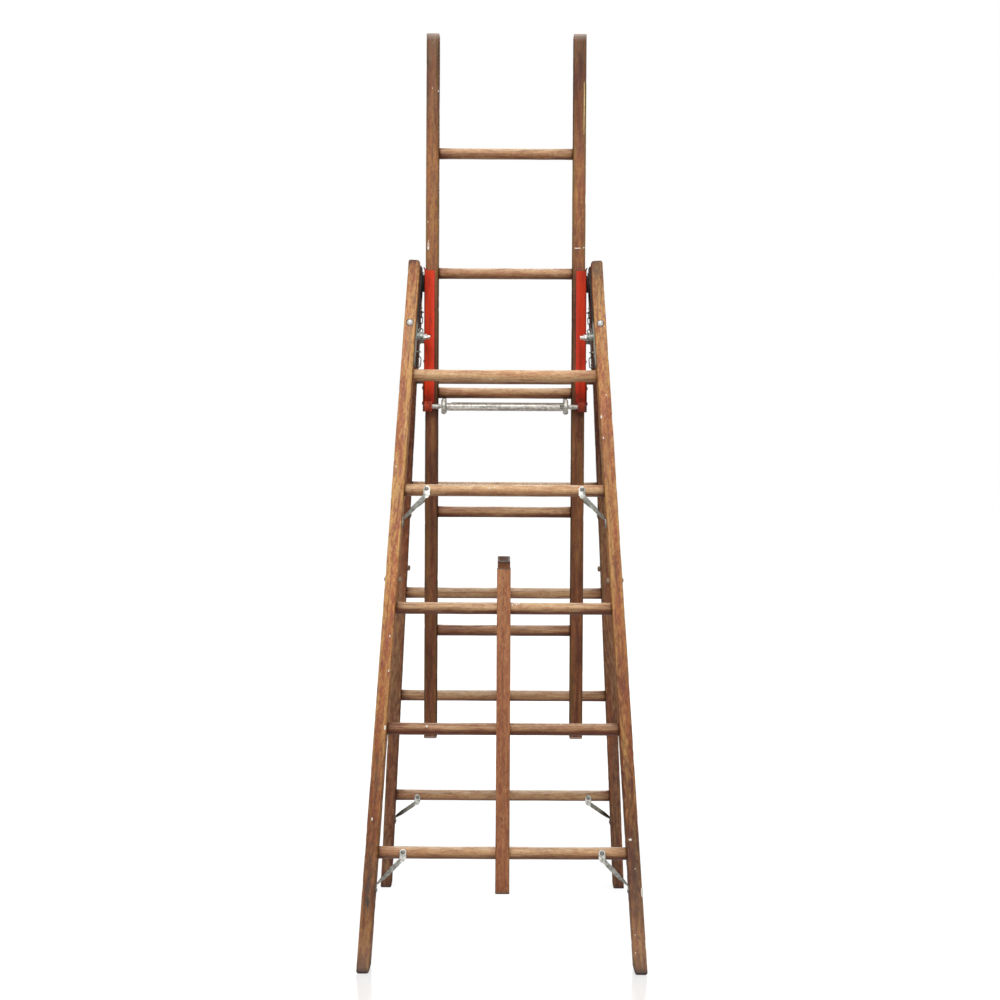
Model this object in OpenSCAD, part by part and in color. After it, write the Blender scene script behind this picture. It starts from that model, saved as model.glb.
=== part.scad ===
// Wooden extension trestle ladder, standing open.
// Two tapered base sections meet at iron hinges, and a straight fly section
// slides up between them in steel guides that hang on the hinge pins.
// Millimetres. Z up, floor at z = 0, the front of the ladder faces -Y.

/* [Base sections] */
// Lean of each base section from upright
lean_deg = 13; // [12:0.5:14]
// Height of the hinge pins above the floor
pivot_z = 1650; // [1630:5:1680]
// Distance from the hinge pins to the middle plane of a base section
plane_gap = 50; // [50:0.5:54]
// Gap between a guide and the base rail beside it, at the hinge pins
head_gap = 9.6; // [9.5:0.1:12]
// Tilt of each base rail towards the middle
taper_deg = 3.18; // [3.1:0.02:3.24]
// Thickness of a base rail, across the ladder
base_rail_t = 30.2; // [28:0.2:31]
// Depth of a base rail, front to back
base_rail_d = 70; // [64:1:70]
// Length of the base rail above the hinge pin
rail_head = 36; // [32:1:44]
// Radius of the worn long edges of the wood
arris_r = 3.5; // [2:0.5:4]
// Radius of the inner top corner of a base rail
head_r = 10; // [6:1:12]
// Chamfer round the bottom of each foot
foot_chamfer = 4; // [2:0.5:5]

/* [Base rungs] */
// Distance along the rail from the foot to the lowest rung
foot_to_rung = 273; // [260:1:285]
// Rung spacing of the base sections
base_pitch = 294; // [288:1:300]
// Diameter of a base rung
base_rung_d = 30; // [28:0.5:31]
// Diameter of the tenon at each end of a rung
tenon_d = 22; // [18:0.5:24]

/* [Centre posts] */
// Width of the centre post
post_w = 34; // [30:1:40]
// Depth of the centre post, front to back
post_d = 57; // [46:1:60]
// Length of the post past its end rungs
post_over = 96; // [60:1:110]

/* [Fly section] */
// Width over the fly rails
fly_width = 406.4; // [400:0.2:408]
// Thickness of a fly rail, across the ladder
fly_rail_t = 33; // [28:0.5:34]
// Depth of a fly rail, front to back
fly_rail_d = 57; // [52:0.5:58]
// Rung spacing of the fly section
fly_pitch = 304.8; // [300:0.2:308]
// Diameter of a fly rung
fly_rung_d = 28.5; // [26:0.5:29]
// Height of the fly rung that sits in the lock hooks
lock_rung_z = 1371; // [1366:1:1376]
// Length of the fly rails below their lowest rung
fly_below = 276; // [200:2:290]
// Length of the fly rails above their highest rung
fly_above = 300; // [200:2:320]
// Chamfer on the top end of the fly rails
fly_chamfer = 9; // [3:1:10]

/* [Guides] */
// Height of the bottom edge of the guides
guide_low = 1326; // [1320:1:1330]
// Length of the guides
guide_len = 355; // [345:1:362]
// Thickness of the guide steel
guide_t = 2.8; // [2:0.2:3]
// Reach of the guide lips over the face of the fly rail
guide_lip = 23.5; // [18:0.5:29]
// Running gap between guide and fly rail
slide_gap = 0.4; // [0.3:0.1:0.6]
// Height of the flared top edge of the guide
flare_h = 9; // [6:0.5:11]

/* [Rung lock] */
// Distance of the lock pins in front of the fly rungs
lock_y = 46; // [45:0.5:47]
// Drop of the lock pins below the locked rung
lock_drop = 36; // [35:0.5:37]
// Diameter of the lock pin in its bracket
lock_pin_d = 12.7; // [11:0.1:14]
// Diameter of the lock pin inside the hook
journal_d = 9.5; // [8:0.5:10]
// Outer diameter of the tube that joins the hooks
tube_d = 21.3; // [19:0.1:24]
// Wall of the tube
tube_wall = 2.6; // [2:0.1:3]
// Distance from the inner face of a fly rail to the hook beside it
hook_in = 9.4; // [7:0.2:14]
// Thickness of a hook
hook_t = 13.2; // [10:0.2:15]
// Radius of the round eye of a hook
hook_r = 19.5; // [17:0.5:20]
// Width of the bracket eye
eye_w = 18; // [14:1:19]

/* [Hinge irons] */
// Thickness of the hinge irons
iron_t = 3.2; // [2.6:0.1:3.2]
// Width of the strap part of a hinge iron
iron_w = 30; // [26:1:34]
// Length of the strap below the hinge pin
iron_len = 236; // [226:2:240]
// Diameter of the round ear on the hinge pin
ear_d = 44; // [38:1:46]
// Diameter of the hinge pins
pivot_d = 10; // [8:0.5:11]

/* [Braces] */
// Distance from the rail to the brace screw on the rung
brace_in = 59; // [50:1:66]
// Drop from the rung to the brace's end on the rail, rear section
brace_drop = 62; // [52:1:70]
// The same drop on the front section
front_brace_drop = 75; // [60:1:80]
// Width of the brace tabs
brace_w = 16; // [13:0.5:18]
// Thickness of the brace strip
brace_t = 2.5; // [2:0.1:2.6]

/* [Bolts and chain] */
// Diameter of the carriage bolts
bolt_d = 8; // [6:0.5:9]
// Distance down the rail to the bolt through its depth
head_bolt_s = 129; // [120:1:134]
// Distance of the side bolts above the third rung
side_bolt_up = 70; // [56:1:80]
// Distance down the rail to the stop bolt
stop_s = 154; // [152:1:160]
// Diameter of the stop bolt
stop_bolt_d = 9.5; // [8:0.5:10]
// Diameter of the spool on the stop bolt
spool_d = 21; // [18:0.5:22]
// Length of the spool
spool_len = 16; // [13:0.5:17]
// Length of a chain link
link_len = 20; // [16:0.5:21]
// Thickness of the chain wire
link_wire = 2.2; // [1.6:0.1:2.4]
// Length of the ring at the end of the chain
tail_len = 30; // [22:1:32]

/* [Hidden] */
$fn = 48;

LEFT = -1;
RIGHT = 1;
OUTER = 1;                  // side of a base section that faces away from the fly
INNER = -1;                 // side that faces the fly
rungs = 5;                  // rungs in every section
locked_rung = 3;            // fly rung that sits in the hooks
post_rungs = 3;             // base rungs that pass through the centre post
braced_rungs = [1, 4];      // base rungs with braces
fit = 0.05;                 // radial clearance of pins, tenons and bolts in their holes
seat = 0.05;                // gap between faces that bear on each other
tenon_back = 0.5;           // a tenon ends this far inside the rail's face
eps = 0.01;
reach = 60;                 // spare length for cuts that pass right through
cut = 2000;                 // size of the blocks used for planar cuts

// base section, measured from the hinge pin: u runs down the section, v away from the fly
taper = tan(taper_deg);
half_t = base_rail_t / 2 / cos(taper_deg);      // half the rail's thickness, along X
foot_u = (pivot_z + plane_gap * sin(lean_deg)) / cos(lean_deg);
function rail_x(u) = web_out + head_gap + half_t + taper * u;
function rail_in(u) = rail_x(u) - half_t;
function rail_out(u) = rail_x(u) + half_t;
function rung_u(i) = foot_u - foot_to_rung - (i - 1) * base_pitch;
base_rung_r = base_rung_d / 2;
tenon_r = tenon_d / 2;
side_bolt_s = (rung_u(post_rungs) - side_bolt_up) / cos(taper_deg);
function brace_x(i) = rail_in(rung_u(i)) - brace_in + (i > 1 ? upper_shift : 0);
function drop(face) = face == OUTER ? front_brace_drop : brace_drop;
function brace_foot_s(i, face) = (rung_u(i) + drop(face) + brace_toe) / cos(taper_deg);
upper_shift = 4;            // the upper braces sit this much nearer the rail
brace_toe = 12;             // from the bend to the screw on the rail
strip_w = 11;               // width of the twisted part of a brace
strip_steps = 12;

// fly section and guides
fly_half = fly_width / 2;
fly_rung_r = fly_rung_d / 2;
function fly_rung_z(i) = lock_rung_z + (i - locked_rung) * fly_pitch;
fly_low = fly_rung_z(1) - fly_below;
fly_top = fly_rung_z(rungs) + fly_above;
web_in = fly_half + slide_gap;
web_out = web_in + guide_t;
lip_in = web_out - guide_lip - guide_t;
guide_y = fly_rail_d / 2 + slide_gap + guide_t;
guide_top = guide_low + guide_len;
lip_r = 3;                  // outer bend radius of the guide

// rung lock
lock_z = lock_rung_z - lock_drop;
hook_x = fly_half - fly_rail_t - hook_in;       // outer face of the hook
hook_wall = 12;             // metal of the hook under the rung
hook_rim = 3.5;             // bevel around the round eye of the hook
eye_r = 13;                 // outside radius of the bracket eye
eye_x = web_out - eye_w - 3.4;                  // inner face of the bracket eye
plate_t = 2.4;              // bracket plate
neck_x = hook_x + 5;        // where the lock pin steps down
cradle_r = fly_rung_r + 0.35;

// rivets in each guide: y and z, the first two also hold the lock bracket
rivet_r = 3;
rivet_head_r = 5.5;
rivet_head_h = 3;
rivet_low = 9;              // heights above the lock pins
rivet_mid = 48;
rivet_high = 117;
rivet_y = -guide_y / 2;
rivets = [[rivet_y, lock_z + rivet_mid], [rivet_y, lock_z + rivet_low], [0, lock_z + rivet_high]];

// hinge irons and pins
ear_r = ear_d / 2;
ear_gap = 0.3;
front_ear_x = rail_in(-ear_r) - 0.5 - iron_t;   // the rear ear runs inside the front one
rear_ear_x = front_ear_x - ear_gap - iron_t;
pivot_r = pivot_d / 2;
strap_up = ear_d / 2;       // strap above the hinge pin
arm_down = 18;
arm_up = 12;
screw_at = [[0, 70], [8, 217]];     // hinge screws across and down the strap
screw_r = 2.5;
screw_head_r = 4.8;
screw_head_h = 2;

// bolts
bolt_r = bolt_d / 2;
dome_r = bolt_d;
dome_h = 4.5;
nut_r = bolt_d * 0.92;      // across corners
nut_h = 6.5;
stop_r = stop_bolt_d / 2;
stop_nut_r = stop_bolt_d * 0.87;
stop_nut_h = 8.5;
brace_head_r = 5.2;
brace_head_h = 2.4;

// chain: oval links of round wire, straight from a peg on the strap to the eye on the spool
wire_r = link_wire / 2;
slack = 0.2;
links = 3;
link_hole = 2;              // half the width of the opening in a link
link_in = link_len / 2 - link_wire;             // half the length of that opening
link_step = 2 * link_in - slack;
spool_x = -base_rail_t / 2 - iron_t - 2 * seat; // strap side of the spool, in the rail frame
ring_r = 5.7;               // eye on the spool
ring_wire = 1.6;
ring_s = stop_s - spool_d / 2 - ring_r + 0.8;
chain_x = spool_x - ring_r - ring_wire - 0.3;
first_link_s = ring_s - ring_r + ring_wire - link_in + slack - (links - 1) * link_step;
peg_r = 1.8;
peg_s = first_link_s - link_in + peg_r + slack / 2;
tail_peg_s = 194;
tail_link_s = tail_peg_s + link_in - peg_r - slack / 2;
tail_r = 6;                 // half the mean width of the end ring
tail_wire = 1.25;

// ---- frames ----

module to_side(side) {
    if (side == LEFT) mirror([1, 0, 0]) children();
    else children();
}

// base section frame: origin on the hinge pin, the section hanging straight down
module in_front() {
    translate([0, 0, pivot_z]) rotate([-lean_deg, 0, 0]) children();
}

module in_rear() {
    mirror([0, 1, 0]) in_front() children();
}

// right rail frame: x = 0 in the middle of the rail, z = -s down the rail
module in_rail() {
    translate([rail_x(0), -plane_gap, 0]) rotate([0, -taper_deg, 0]) children();
}

// cylinder along X from x0 to x1
module rod_x(x0, x1, r) {
    translate([x0, 0, 0]) rotate([0, 90, 0]) cylinder(r = r, h = x1 - x0);
}

// cylinder along Y between the planes v0 and v1 (v = -y)
module rod_v(v0, v1, r) {
    translate([0, -min(v0, v1), 0]) rotate([90, 0, 0]) cylinder(r = r, h = abs(v1 - v0));
}

module round_rect(w, d, r) {
    square([w - 2 * r, d], center = true);
    square([w, d - 2 * r], center = true);
    for (x = [-1, 1], y = [-1, 1])
        translate([x * (w / 2 - r), y * (d / 2 - r)]) circle(r = r, $fn = 32);
}

// domed bolt head standing on z = 0
module dome(r, h) {
    ball = (r * r + h * h) / (2 * h);
    intersection() {
        translate([0, 0, h - ball]) sphere(r = ball);
        cylinder(r = r, h = h);
    }
}

module hex(r, h) {
    cylinder(r = r, h = h, $fn = 6);
}

module ring(r, wire) {
    rotate_extrude($fn = 40) translate([r, 0]) circle(r = wire, $fn = 20);
}

// chain link along Z in the XZ plane: half the overall length, half the mean width
module oval(half_len, r, wire) {
    straight = half_len - wire - r;
    for (end = [0, 180]) rotate([0, end, 0]) translate([0, 0, straight])
        intersection() {
            rotate([90, 0, 0]) ring(r, wire);
            translate([-2 * r, -2 * wire, 0]) cube([4 * r, 4 * wire, 2 * r]);
        }
    for (x = [-r, r]) translate([x, 0, -straight]) cylinder(r = wire, h = 2 * straight, $fn = 20);
}

// ---- base section wood ----

module rail_outline() {
    top = rail_head + arris_r;
    difference() {
        translate([-base_rail_t / 2, -foot_u - reach]) square([base_rail_t, foot_u + reach + rail_head]);
        translate([-base_rail_t / 2 - eps, rail_head - head_r]) square([head_r + eps, head_r + eps]);
        translate([base_rail_t / 2 - arris_r, rail_head - arris_r]) square([top, top]);
    }
    translate([-base_rail_t / 2 + head_r, rail_head - head_r]) circle(r = head_r);
    translate([base_rail_t / 2 - arris_r, rail_head - arris_r]) circle(r = arris_r, $fn = 32);
}

module rail_holes(face) {
    for (i = [1:rungs])
        translate([0, -plane_gap, -rung_u(i)])
            rod_x(rail_in(rung_u(i)) - reach, rail_out(rung_u(i)) + reach, tenon_r + fit);
    in_rail() {
        translate([0, 0, -side_bolt_s]) rod_x(-reach, reach, bolt_r + fit);
        translate([0, 0, -stop_s]) rod_x(-reach, reach, stop_r + fit);
        translate([0, 0, -head_bolt_s]) rod_v(-reach, reach, bolt_r + fit);
        for (p = screw_at) translate([0, p[0], -p[1]]) rod_x(-reach, 6 + fit, screw_r + fit);
        for (i = braced_rungs)
            translate([0, brace_foot_y(face), -brace_foot_s(i, face)])
                rod_x(-reach, 6 + fit, screw_r + fit);
    }
}

module base_rail(face) {
    color("peru") intersection() {
        in_front() difference() {
            in_rail() intersection() {
                translate([0, 0, -foot_u - reach])
                    linear_extrude(height = foot_u + reach + rail_head)
                        round_rect(base_rail_t, base_rail_d, arris_r);
                rotate([90, 0, 0]) translate([0, 0, -base_rail_d])
                    linear_extrude(height = 2 * base_rail_d) rail_outline();
            }
            rail_holes(face);
        }
        foot_block();
    }
}

// space above the floor, with the foot's lower edges chamfered
module foot_block() {
    v_out = plane_gap + base_rail_d / 2;
    v_in = plane_gap - base_rail_d / 2;
    y_out = -(pivot_z * tan(lean_deg) + v_out / cos(lean_deg));
    y_in = -(pivot_z * tan(lean_deg) + v_in / cos(lean_deg));
    x_in = rail_in(foot_u);
    x_out = rail_out(foot_u);
    difference() {
        translate([-cut / 2, -cut / 2, 0]) cube([cut, cut, cut]);
        edge_cut([0, y_out, 0], [45, 0, 0]);
        edge_cut([0, y_in, 0], [45, 0, 0]);
        edge_cut([x_in, 0, 0], [0, 45, 0]);
        edge_cut([x_out, 0, 0], [0, 45, 0]);
    }
}

module edge_cut(at, turn) {
    side = foot_chamfer * sqrt(2);
    long = 800;
    translate(at) rotate(turn)
        cube(turn[0] > 0 ? [2 * long, side, side] : [side, 2 * long, side], center = true);
}

// half space outside the right rail's inner face
module beyond_rail() {
    in_rail() translate([-base_rail_t / 2 - seat, -cut / 2, -cut]) cube([cut, cut, 2 * cut]);
}

module base_rung(i, face) {
    u = rung_u(i);
    tenon_x = rail_out(u) - taper * tenon_r - tenon_back;
    difference() {
        union() {
            difference() {
                translate([0, -plane_gap, -u]) rod_x(-rail_x(u), rail_x(u), base_rung_r);
                for (side = [LEFT, RIGHT]) to_side(side) beyond_rail();
            }
            translate([0, -plane_gap, -u]) rod_x(-tenon_x, tenon_x, tenon_r);
        }
        if (len(search(i, braced_rungs)) > 0)
            for (side = [LEFT, RIGHT])
                translate([side * brace_x(i), 0, -u])
                    rod_v(plane_gap - face * 6, plane_gap + face * reach / 2, screw_r + fit);
    }
}

module center_post() {
    top_u = rung_u(post_rungs) - post_over;
    low_u = rung_u(1) + post_over;
    difference() {
        translate([0, -plane_gap, -low_u])
            linear_extrude(height = low_u - top_u) round_rect(post_w, post_d, arris_r);
        for (i = [1:post_rungs])
            translate([0, -plane_gap, -rung_u(i)]) rod_x(-post_w, post_w, base_rung_r + fit);
    }
}

// ---- hinge irons, bolts, chain ----

module strap() {
    in_rail() translate([-base_rail_t / 2 - seat - iron_t, 0, 0]) {
        translate([0, -iron_w / 2, -iron_len + iron_w / 2])
            cube([iron_t, iron_w, iron_len + strap_up - iron_w / 2]);
        translate([0, 0, -iron_len + iron_w / 2]) rod_x(0, iron_t, iron_w / 2);
    }
}

module strap_holes() {
    in_rail() {
        translate([0, 0, -stop_s]) rod_x(-reach, 0, stop_r + fit);
        for (p = screw_at) translate([0, p[0], -p[1]]) rod_x(-reach, 0, screw_r + fit);
    }
}

// one leaf of the hinge: a strap on the rail's inner face and a round ear on the pin
module hinge_iron(ear_x, joggle) {
    difference() {
        union() {
            strap();
            rod_x(ear_x, ear_x + iron_t, ear_r);
            translate([ear_x, -plane_gap, -arm_down]) cube([iron_t, plane_gap, arm_down + arm_up]);
            if (joggle)
                translate([ear_x, -plane_gap + iron_w / 2 - 4, -arm_down])
                    cube([rail_in(-arm_up) - seat - 0.5 - ear_x, 8, arm_down + arm_up]);
            for (s = [peg_s, tail_peg_s]) if (!joggle)
                in_rail() translate([0, 0, -s])
                    rod_x(chain_x - 5, -base_rail_t / 2 - iron_t / 2, peg_r);
        }
        rod_x(ear_x - reach, ear_x + reach / 2, pivot_r + fit);
        strap_holes();
    }
}

module hinge_screws() {
    for (side = [LEFT, RIGHT]) to_side(side) in_rail() for (p = screw_at)
        translate([0, p[0], -p[1]]) {
            rod_x(-base_rail_t / 2 - iron_t - 2 * seat - eps, 6, screw_r);
            translate([-base_rail_t / 2 - iron_t - 2 * seat, 0, 0]) rotate([0, -90, 0])
                dome(screw_head_r, screw_head_h);
        }
}

module brace_screws(face) {
    for (side = [LEFT, RIGHT], i = braced_rungs) to_side(side) {
        tab_v = plane_gap + face * (base_rung_r + brace_t + 2 * seat);
        translate([brace_x(i), 0, -rung_u(i)]) {
            rod_v(plane_gap - face * (6 - fit), tab_v, screw_r);
            translate([0, -tab_v, 0]) rotate([face * 90, 0, 0]) dome(brace_head_r, brace_head_h);
        }
        in_rail() translate([0, brace_foot_y(face), -brace_foot_s(i, face)]) {
            rod_x(-base_rail_t / 2 - brace_t - 2 * seat - eps, 6, screw_r);
            translate([-base_rail_t / 2 - brace_t - 2 * seat, 0, 0]) rotate([0, -90, 0])
                dome(screw_head_r, screw_head_h);
        }
    }
}

// carriage bolts through the depth of each rail, nut on the inner side
module head_bolts() {
    v_out = base_rail_d / 2 + seat;
    for (side = [LEFT, RIGHT]) to_side(side) in_rail() translate([0, 0, -head_bolt_s]) {
        translate([0, -v_out, 0]) rotate([90, 0, 0]) dome(dome_r, dome_h);
        rod_v(-v_out - nut_h - 1, v_out + eps, bolt_r);
        difference() {
            translate([0, v_out + nut_h, 0]) rotate([90, 0, 0]) hex(nut_r, nut_h);
            rod_v(-v_out - nut_h - 2, 0, bolt_r + fit);
        }
    }
}

// carriage bolts across each rail above the third rung
module side_bolts() {
    x_out = base_rail_t / 2 + seat;
    for (side = [LEFT, RIGHT]) to_side(side) in_rail() translate([0, 0, -side_bolt_s]) {
        translate([x_out, 0, 0]) rotate([0, 90, 0]) dome(dome_r, dome_h);
        rod_x(-x_out - nut_h - 1, x_out + eps, bolt_r);
        difference() {
            translate([-x_out - nut_h, 0, 0]) rotate([0, 90, 0]) hex(nut_r, nut_h);
            rod_x(-x_out - nut_h - 2, 0, bolt_r + fit);
        }
    }
}

module stop_bolts() {
    nut_x = spool_x - spool_len - seat;
    for (side = [LEFT, RIGHT]) to_side(side) in_rail() translate([0, 0, -stop_s]) {
        rod_x(nut_x - stop_nut_h - 8, base_rail_t / 2 - 0.5, stop_r);
        difference() {
            translate([nut_x - stop_nut_h, 0, 0]) rotate([0, 90, 0]) hex(stop_nut_r, stop_nut_h);
            rod_x(nut_x - stop_nut_h - 1, nut_x + 1, stop_r + fit);
        }
    }
}

module stop_spools(with_eye) {
    for (side = [LEFT, RIGHT]) to_side(side) in_rail() difference() {
        union() {
            translate([0, 0, -stop_s]) {
                rod_x(spool_x - spool_len, spool_x - spool_len + 3, spool_d / 2);
                rod_x(spool_x - 3, spool_x, spool_d / 2);
                rod_x(spool_x - spool_len + 1, spool_x - 1, spool_d / 2 - 1.5);
            }
            if (with_eye) translate([chain_x, 0, -ring_s]) rotate([90, 0, 0]) ring(ring_r, ring_wire);
        }
        translate([0, 0, -stop_s]) rod_x(-reach, 0, stop_r + fit);
    }
}

module chain_link(s, turn) {
    translate([chain_x, 0, -s]) rotate([0, 0, turn]) oval(link_len / 2, link_hole + wire_r, wire_r);
}

module limit_chains() {
    color("dimgray") in_front() for (side = [LEFT, RIGHT]) to_side(side) in_rail() {
        for (i = [0:links - 1]) chain_link(first_link_s + i * link_step, i % 2 == 0 ? 90 : 0);
        // tail: one link on the lower peg, with the end ring hanging plumb from it
        chain_link(tail_link_s, 90);
        translate([chain_x, 0, -tail_link_s - link_in - wire_r]) rotate([lean_deg, 0, 0])
            translate([0, 0, wire_r + 2 * tail_wire + slack - tail_len / 2])
                oval(tail_len / 2, tail_r, tail_wire);
    }
}

// ---- braces ----

function brace_foot_y(face) = -face * base_rail_d / 8;

// points of the twisted strip: flat across the ladder at its start, edge on at its end
function strip_ring(a, b, t) =
    let (
        d = b - a,
        dir = d / norm(d),
        flat = [dir[2], 0, -dir[0]],
        turn = 90 * t * t,
        w = cos(turn) * flat / norm(flat) + sin(turn) * [0, 1, 0],
        n = cross(dir, w) / norm(cross(dir, w)),
        c = a + d * t
    ) [for (k = [[-1, -1], [1, -1], [1, 1], [-1, 1]])
        c + k[0] * w * strip_w / 2 + k[1] * n * brace_t / 2];

module twisted_strip(a, b) {
    pts = [for (i = [0:strip_steps]) each strip_ring(a, b, i / strip_steps)];
    sides = [for (i = [0:strip_steps - 1], k = [0:3]) each
        let (p = 4 * i + k, q = 4 * i + (k + 1) % 4) [[p, p + 4, q + 4], [p, q + 4, q]]];
    last = 4 * strip_steps;
    ends = [[0, 1, 2, 3], [last + 3, last + 2, last + 1, last]];
    polyhedron(points = pts, faces = concat(ends, sides), convexity = 4);
}

module brace(i, face) {
    u = rung_u(i);
    x0 = brace_x(i);
    tab_low = base_rung_r + 4;
    tab_v = plane_gap + face * (base_rung_r + seat + brace_t / 2);
    foot_v = plane_gap - brace_foot_y(face);
    end_u = u + drop(face);
    difference() {
        union() {
            translate([x0, -tab_v, -u]) rotate([90, 0, 0]) translate([0, 0, -brace_t / 2]) {
                cylinder(r = brace_w / 2, h = brace_t);
                translate([-brace_w / 2, -tab_low + 3, 0]) cube([brace_w, tab_low - 3, brace_t]);
                translate([1, -tab_low + 3, 0]) cylinder(r = brace_w / 2 - 1, h = brace_t);
            }
            twisted_strip([x0 + 1, -tab_v, -u - tab_low + 4],
                [rail_in(end_u) - seat - 1.6, -foot_v, -end_u]);
            in_rail() translate([-base_rail_t / 2 - seat - brace_t, brace_foot_y(face), 0]) {
                translate([0, -brace_w / 2, -brace_foot_s(i, face)]) cube([brace_t, brace_w, 14]);
                translate([0, 0, -brace_foot_s(i, face)]) rod_x(0, brace_t, brace_w / 2);
            }
        }
        translate([x0, 0, -u]) rod_v(0, 2 * plane_gap, screw_r + fit);
        in_rail() translate([0, brace_foot_y(face), -brace_foot_s(i, face)])
            rod_x(-base_rail_t / 2 - 6, 0, screw_r + fit);
        beyond_rail();
    }
}

// ---- guides and hinge pins ----

module guide(side) {
    color("orangered") to_side(side) difference() {
        union() {
            translate([0, 0, guide_low]) linear_extrude(height = guide_len) guide_section();
            translate([0, guide_y - lip_r - 1, 0]) rotate([90, 0, 0])
                linear_extrude(height = 2 * (guide_y - lip_r - 1)) flare_profile();
        }
        translate([0, 0, pivot_z]) rod_x(web_in - reach, web_out + reach, pivot_r + fit);
        for (p = rivets) translate([0, p[0], p[1]]) rod_x(web_in - reach, web_out + reach, rivet_r + fit);
    }
}

// web carried up past the channel's end and bent outwards
module flare_profile() {
    bend_z = guide_top + flare_h - 4;
    polygon([[web_in, guide_top - 6], [web_in, bend_z], [web_in + 3.2, guide_top + flare_h],
        [web_in + 3.2 + 0.75 * guide_t, guide_top + flare_h - 1.8], [web_out, bend_z - 1.1],
        [web_out, guide_top - 6]]);
}

module guide_section() {
    difference() {
        intersection() {
            translate([web_out - 2 * guide_y, 0]) round_rect_right(2 * guide_y);
            translate([lip_in, -guide_y]) square([web_out - lip_in, 2 * guide_y]);
        }
        translate([lip_in - 1, -guide_y + guide_t]) square([web_in - lip_in + 1, 2 * (guide_y - guide_t)]);
    }
}

// square of the given side whose right-hand corners are rounded to the bend radius
module round_rect_right(side) {
    translate([0, -side / 2]) square([side - lip_r, side]);
    translate([0, -side / 2 + lip_r]) square([side, side - 2 * lip_r]);
    for (y = [-1, 1]) translate([side - lip_r, y * (side / 2 - lip_r)]) circle(r = lip_r, $fn = 32);
}

module bracket_rivets() {
    color("darkred") for (side = [LEFT, RIGHT]) to_side(side) for (i = [0:len(rivets) - 1]) {
        base = web_out + (i < 2 ? plate_t + 2 * seat : seat);
        translate([0, rivets[i][0], rivets[i][1]]) {
            rod_x(web_in + 0.1, base + eps, rivet_r);
            translate([base, 0, 0]) rotate([0, 90, 0]) dome(rivet_head_r, rivet_head_h);
        }
    }
}

module pivot_pins() {
    head_x = front_ear_x + iron_t + 0.3;
    color("dimgray") for (side = [LEFT, RIGHT]) to_side(side) translate([0, 0, pivot_z]) {
        rod_x(web_in + 0.1, head_x + eps, pivot_r);
        rod_x(web_out + seat, rear_ear_x - 0.3, pivot_r + 3);
        translate([head_x, 0, 0]) rotate([0, 90, 0]) dome(2 * pivot_r, dome_h);
    }
}

// ---- rung lock ----

module lock_bracket(side) {
    front_y = -guide_y - seat;
    color("orangered") to_side(side) difference() {
        union() {
            translate([web_out + seat, front_y - plate_t, guide_low])
                cube([plate_t, guide_y - 4, rivets[0][1] + 14 - guide_low]);
            translate([eye_x, front_y - plate_t, lock_z - eye_r])
                cube([web_out + seat + plate_t - eye_x, plate_t, 2 * eye_r]);
            translate([eye_x, -lock_y, lock_z - eye_r])
                cube([eye_w, lock_y + front_y - plate_t + eps, 2 * eye_r]);
            translate([0, -lock_y, lock_z]) rod_x(eye_x, eye_x + eye_w, eye_r);
        }
        translate([0, -lock_y, lock_z]) rod_x(eye_x - reach, eye_x + reach, lock_pin_d / 2 + fit);
        for (p = rivets) translate([0, p[0], p[1]]) rod_x(web_out - 1, web_out + reach, rivet_r + fit);
    }
}

module lock_pin(side) {
    color("silver") to_side(side) translate([0, -lock_y, lock_z]) {
        rod_x(hook_x - hook_t - 12, neck_x + eps, journal_d / 2);
        rod_x(neck_x, eye_x + eye_w + seat + eps, lock_pin_d / 2);
        rod_x(eye_x + eye_w + seat, eye_x + eye_w + 3.2, lock_pin_d / 2 + 2.5);
    }
}

// arm of the hook, from the pin to under the rung; y and z from the pin
hook_arm = [
    [0, -0.72 * hook_r],
    [lock_y - 1.1 * cradle_r, lock_drop - cradle_r - 1.6 * hook_wall],
    [lock_y + 0.7 * cradle_r, lock_drop - cradle_r - 0.87 * hook_wall],
    [lock_y + 1.03 * cradle_r, lock_drop - 1.23 * cradle_r],
    [lock_y + 0.96 * cradle_r, lock_drop - 0.75 * cradle_r],
    [lock_y - 0.9 * cradle_r, lock_drop - 0.92 * cradle_r],
    [lock_y - 1.6 * cradle_r, lock_drop - 1.05 * cradle_r],
    [0, hook_r]
];

module lock_hook(side) {
    y0 = -lock_y;
    color("silver") to_side(side) difference() {
        translate([hook_x - hook_t, y0, lock_z]) rotate([90, 0, 90]) {
            cylinder(r1 = hook_r - hook_rim, r2 = hook_r, h = hook_rim);
            translate([0, 0, hook_rim]) cylinder(r = hook_r, h = hook_t - 2 * hook_rim);
            translate([0, 0, hook_t - hook_rim]) cylinder(r1 = hook_r, r2 = hook_r - hook_rim, h = hook_rim);
            translate([0, 0, hook_rim / 2]) linear_extrude(height = hook_t - hook_rim) polygon(hook_arm);
        }
        translate([hook_x - hook_t - 1, 0, lock_rung_z]) rod_x(0, hook_t + 2, cradle_r);
        translate([0, y0, lock_z]) rod_x(0, hook_x + reach, journal_d / 2 + fit);
    }
}

module lock_tube() {
    tube_x = hook_x - hook_t - seat;
    color("silver") translate([0, -lock_y, lock_z]) difference() {
        rod_x(-tube_x, tube_x, tube_d / 2);
        rod_x(-tube_x - 1, tube_x + 1, tube_d / 2 - tube_wall);
        // relief at the left end, open slot at the right end
        translate([-tube_x - 1, -tube_d, tube_d / 2 - tube_wall * 0.7]) cube([14, 2 * tube_d, tube_d]);
        translate([tube_x - 8, -tube_d, -tube_d / 5]) cube([9, tube_d, tube_d / 2.6]);
    }
}

// ---- fly section ----

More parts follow.
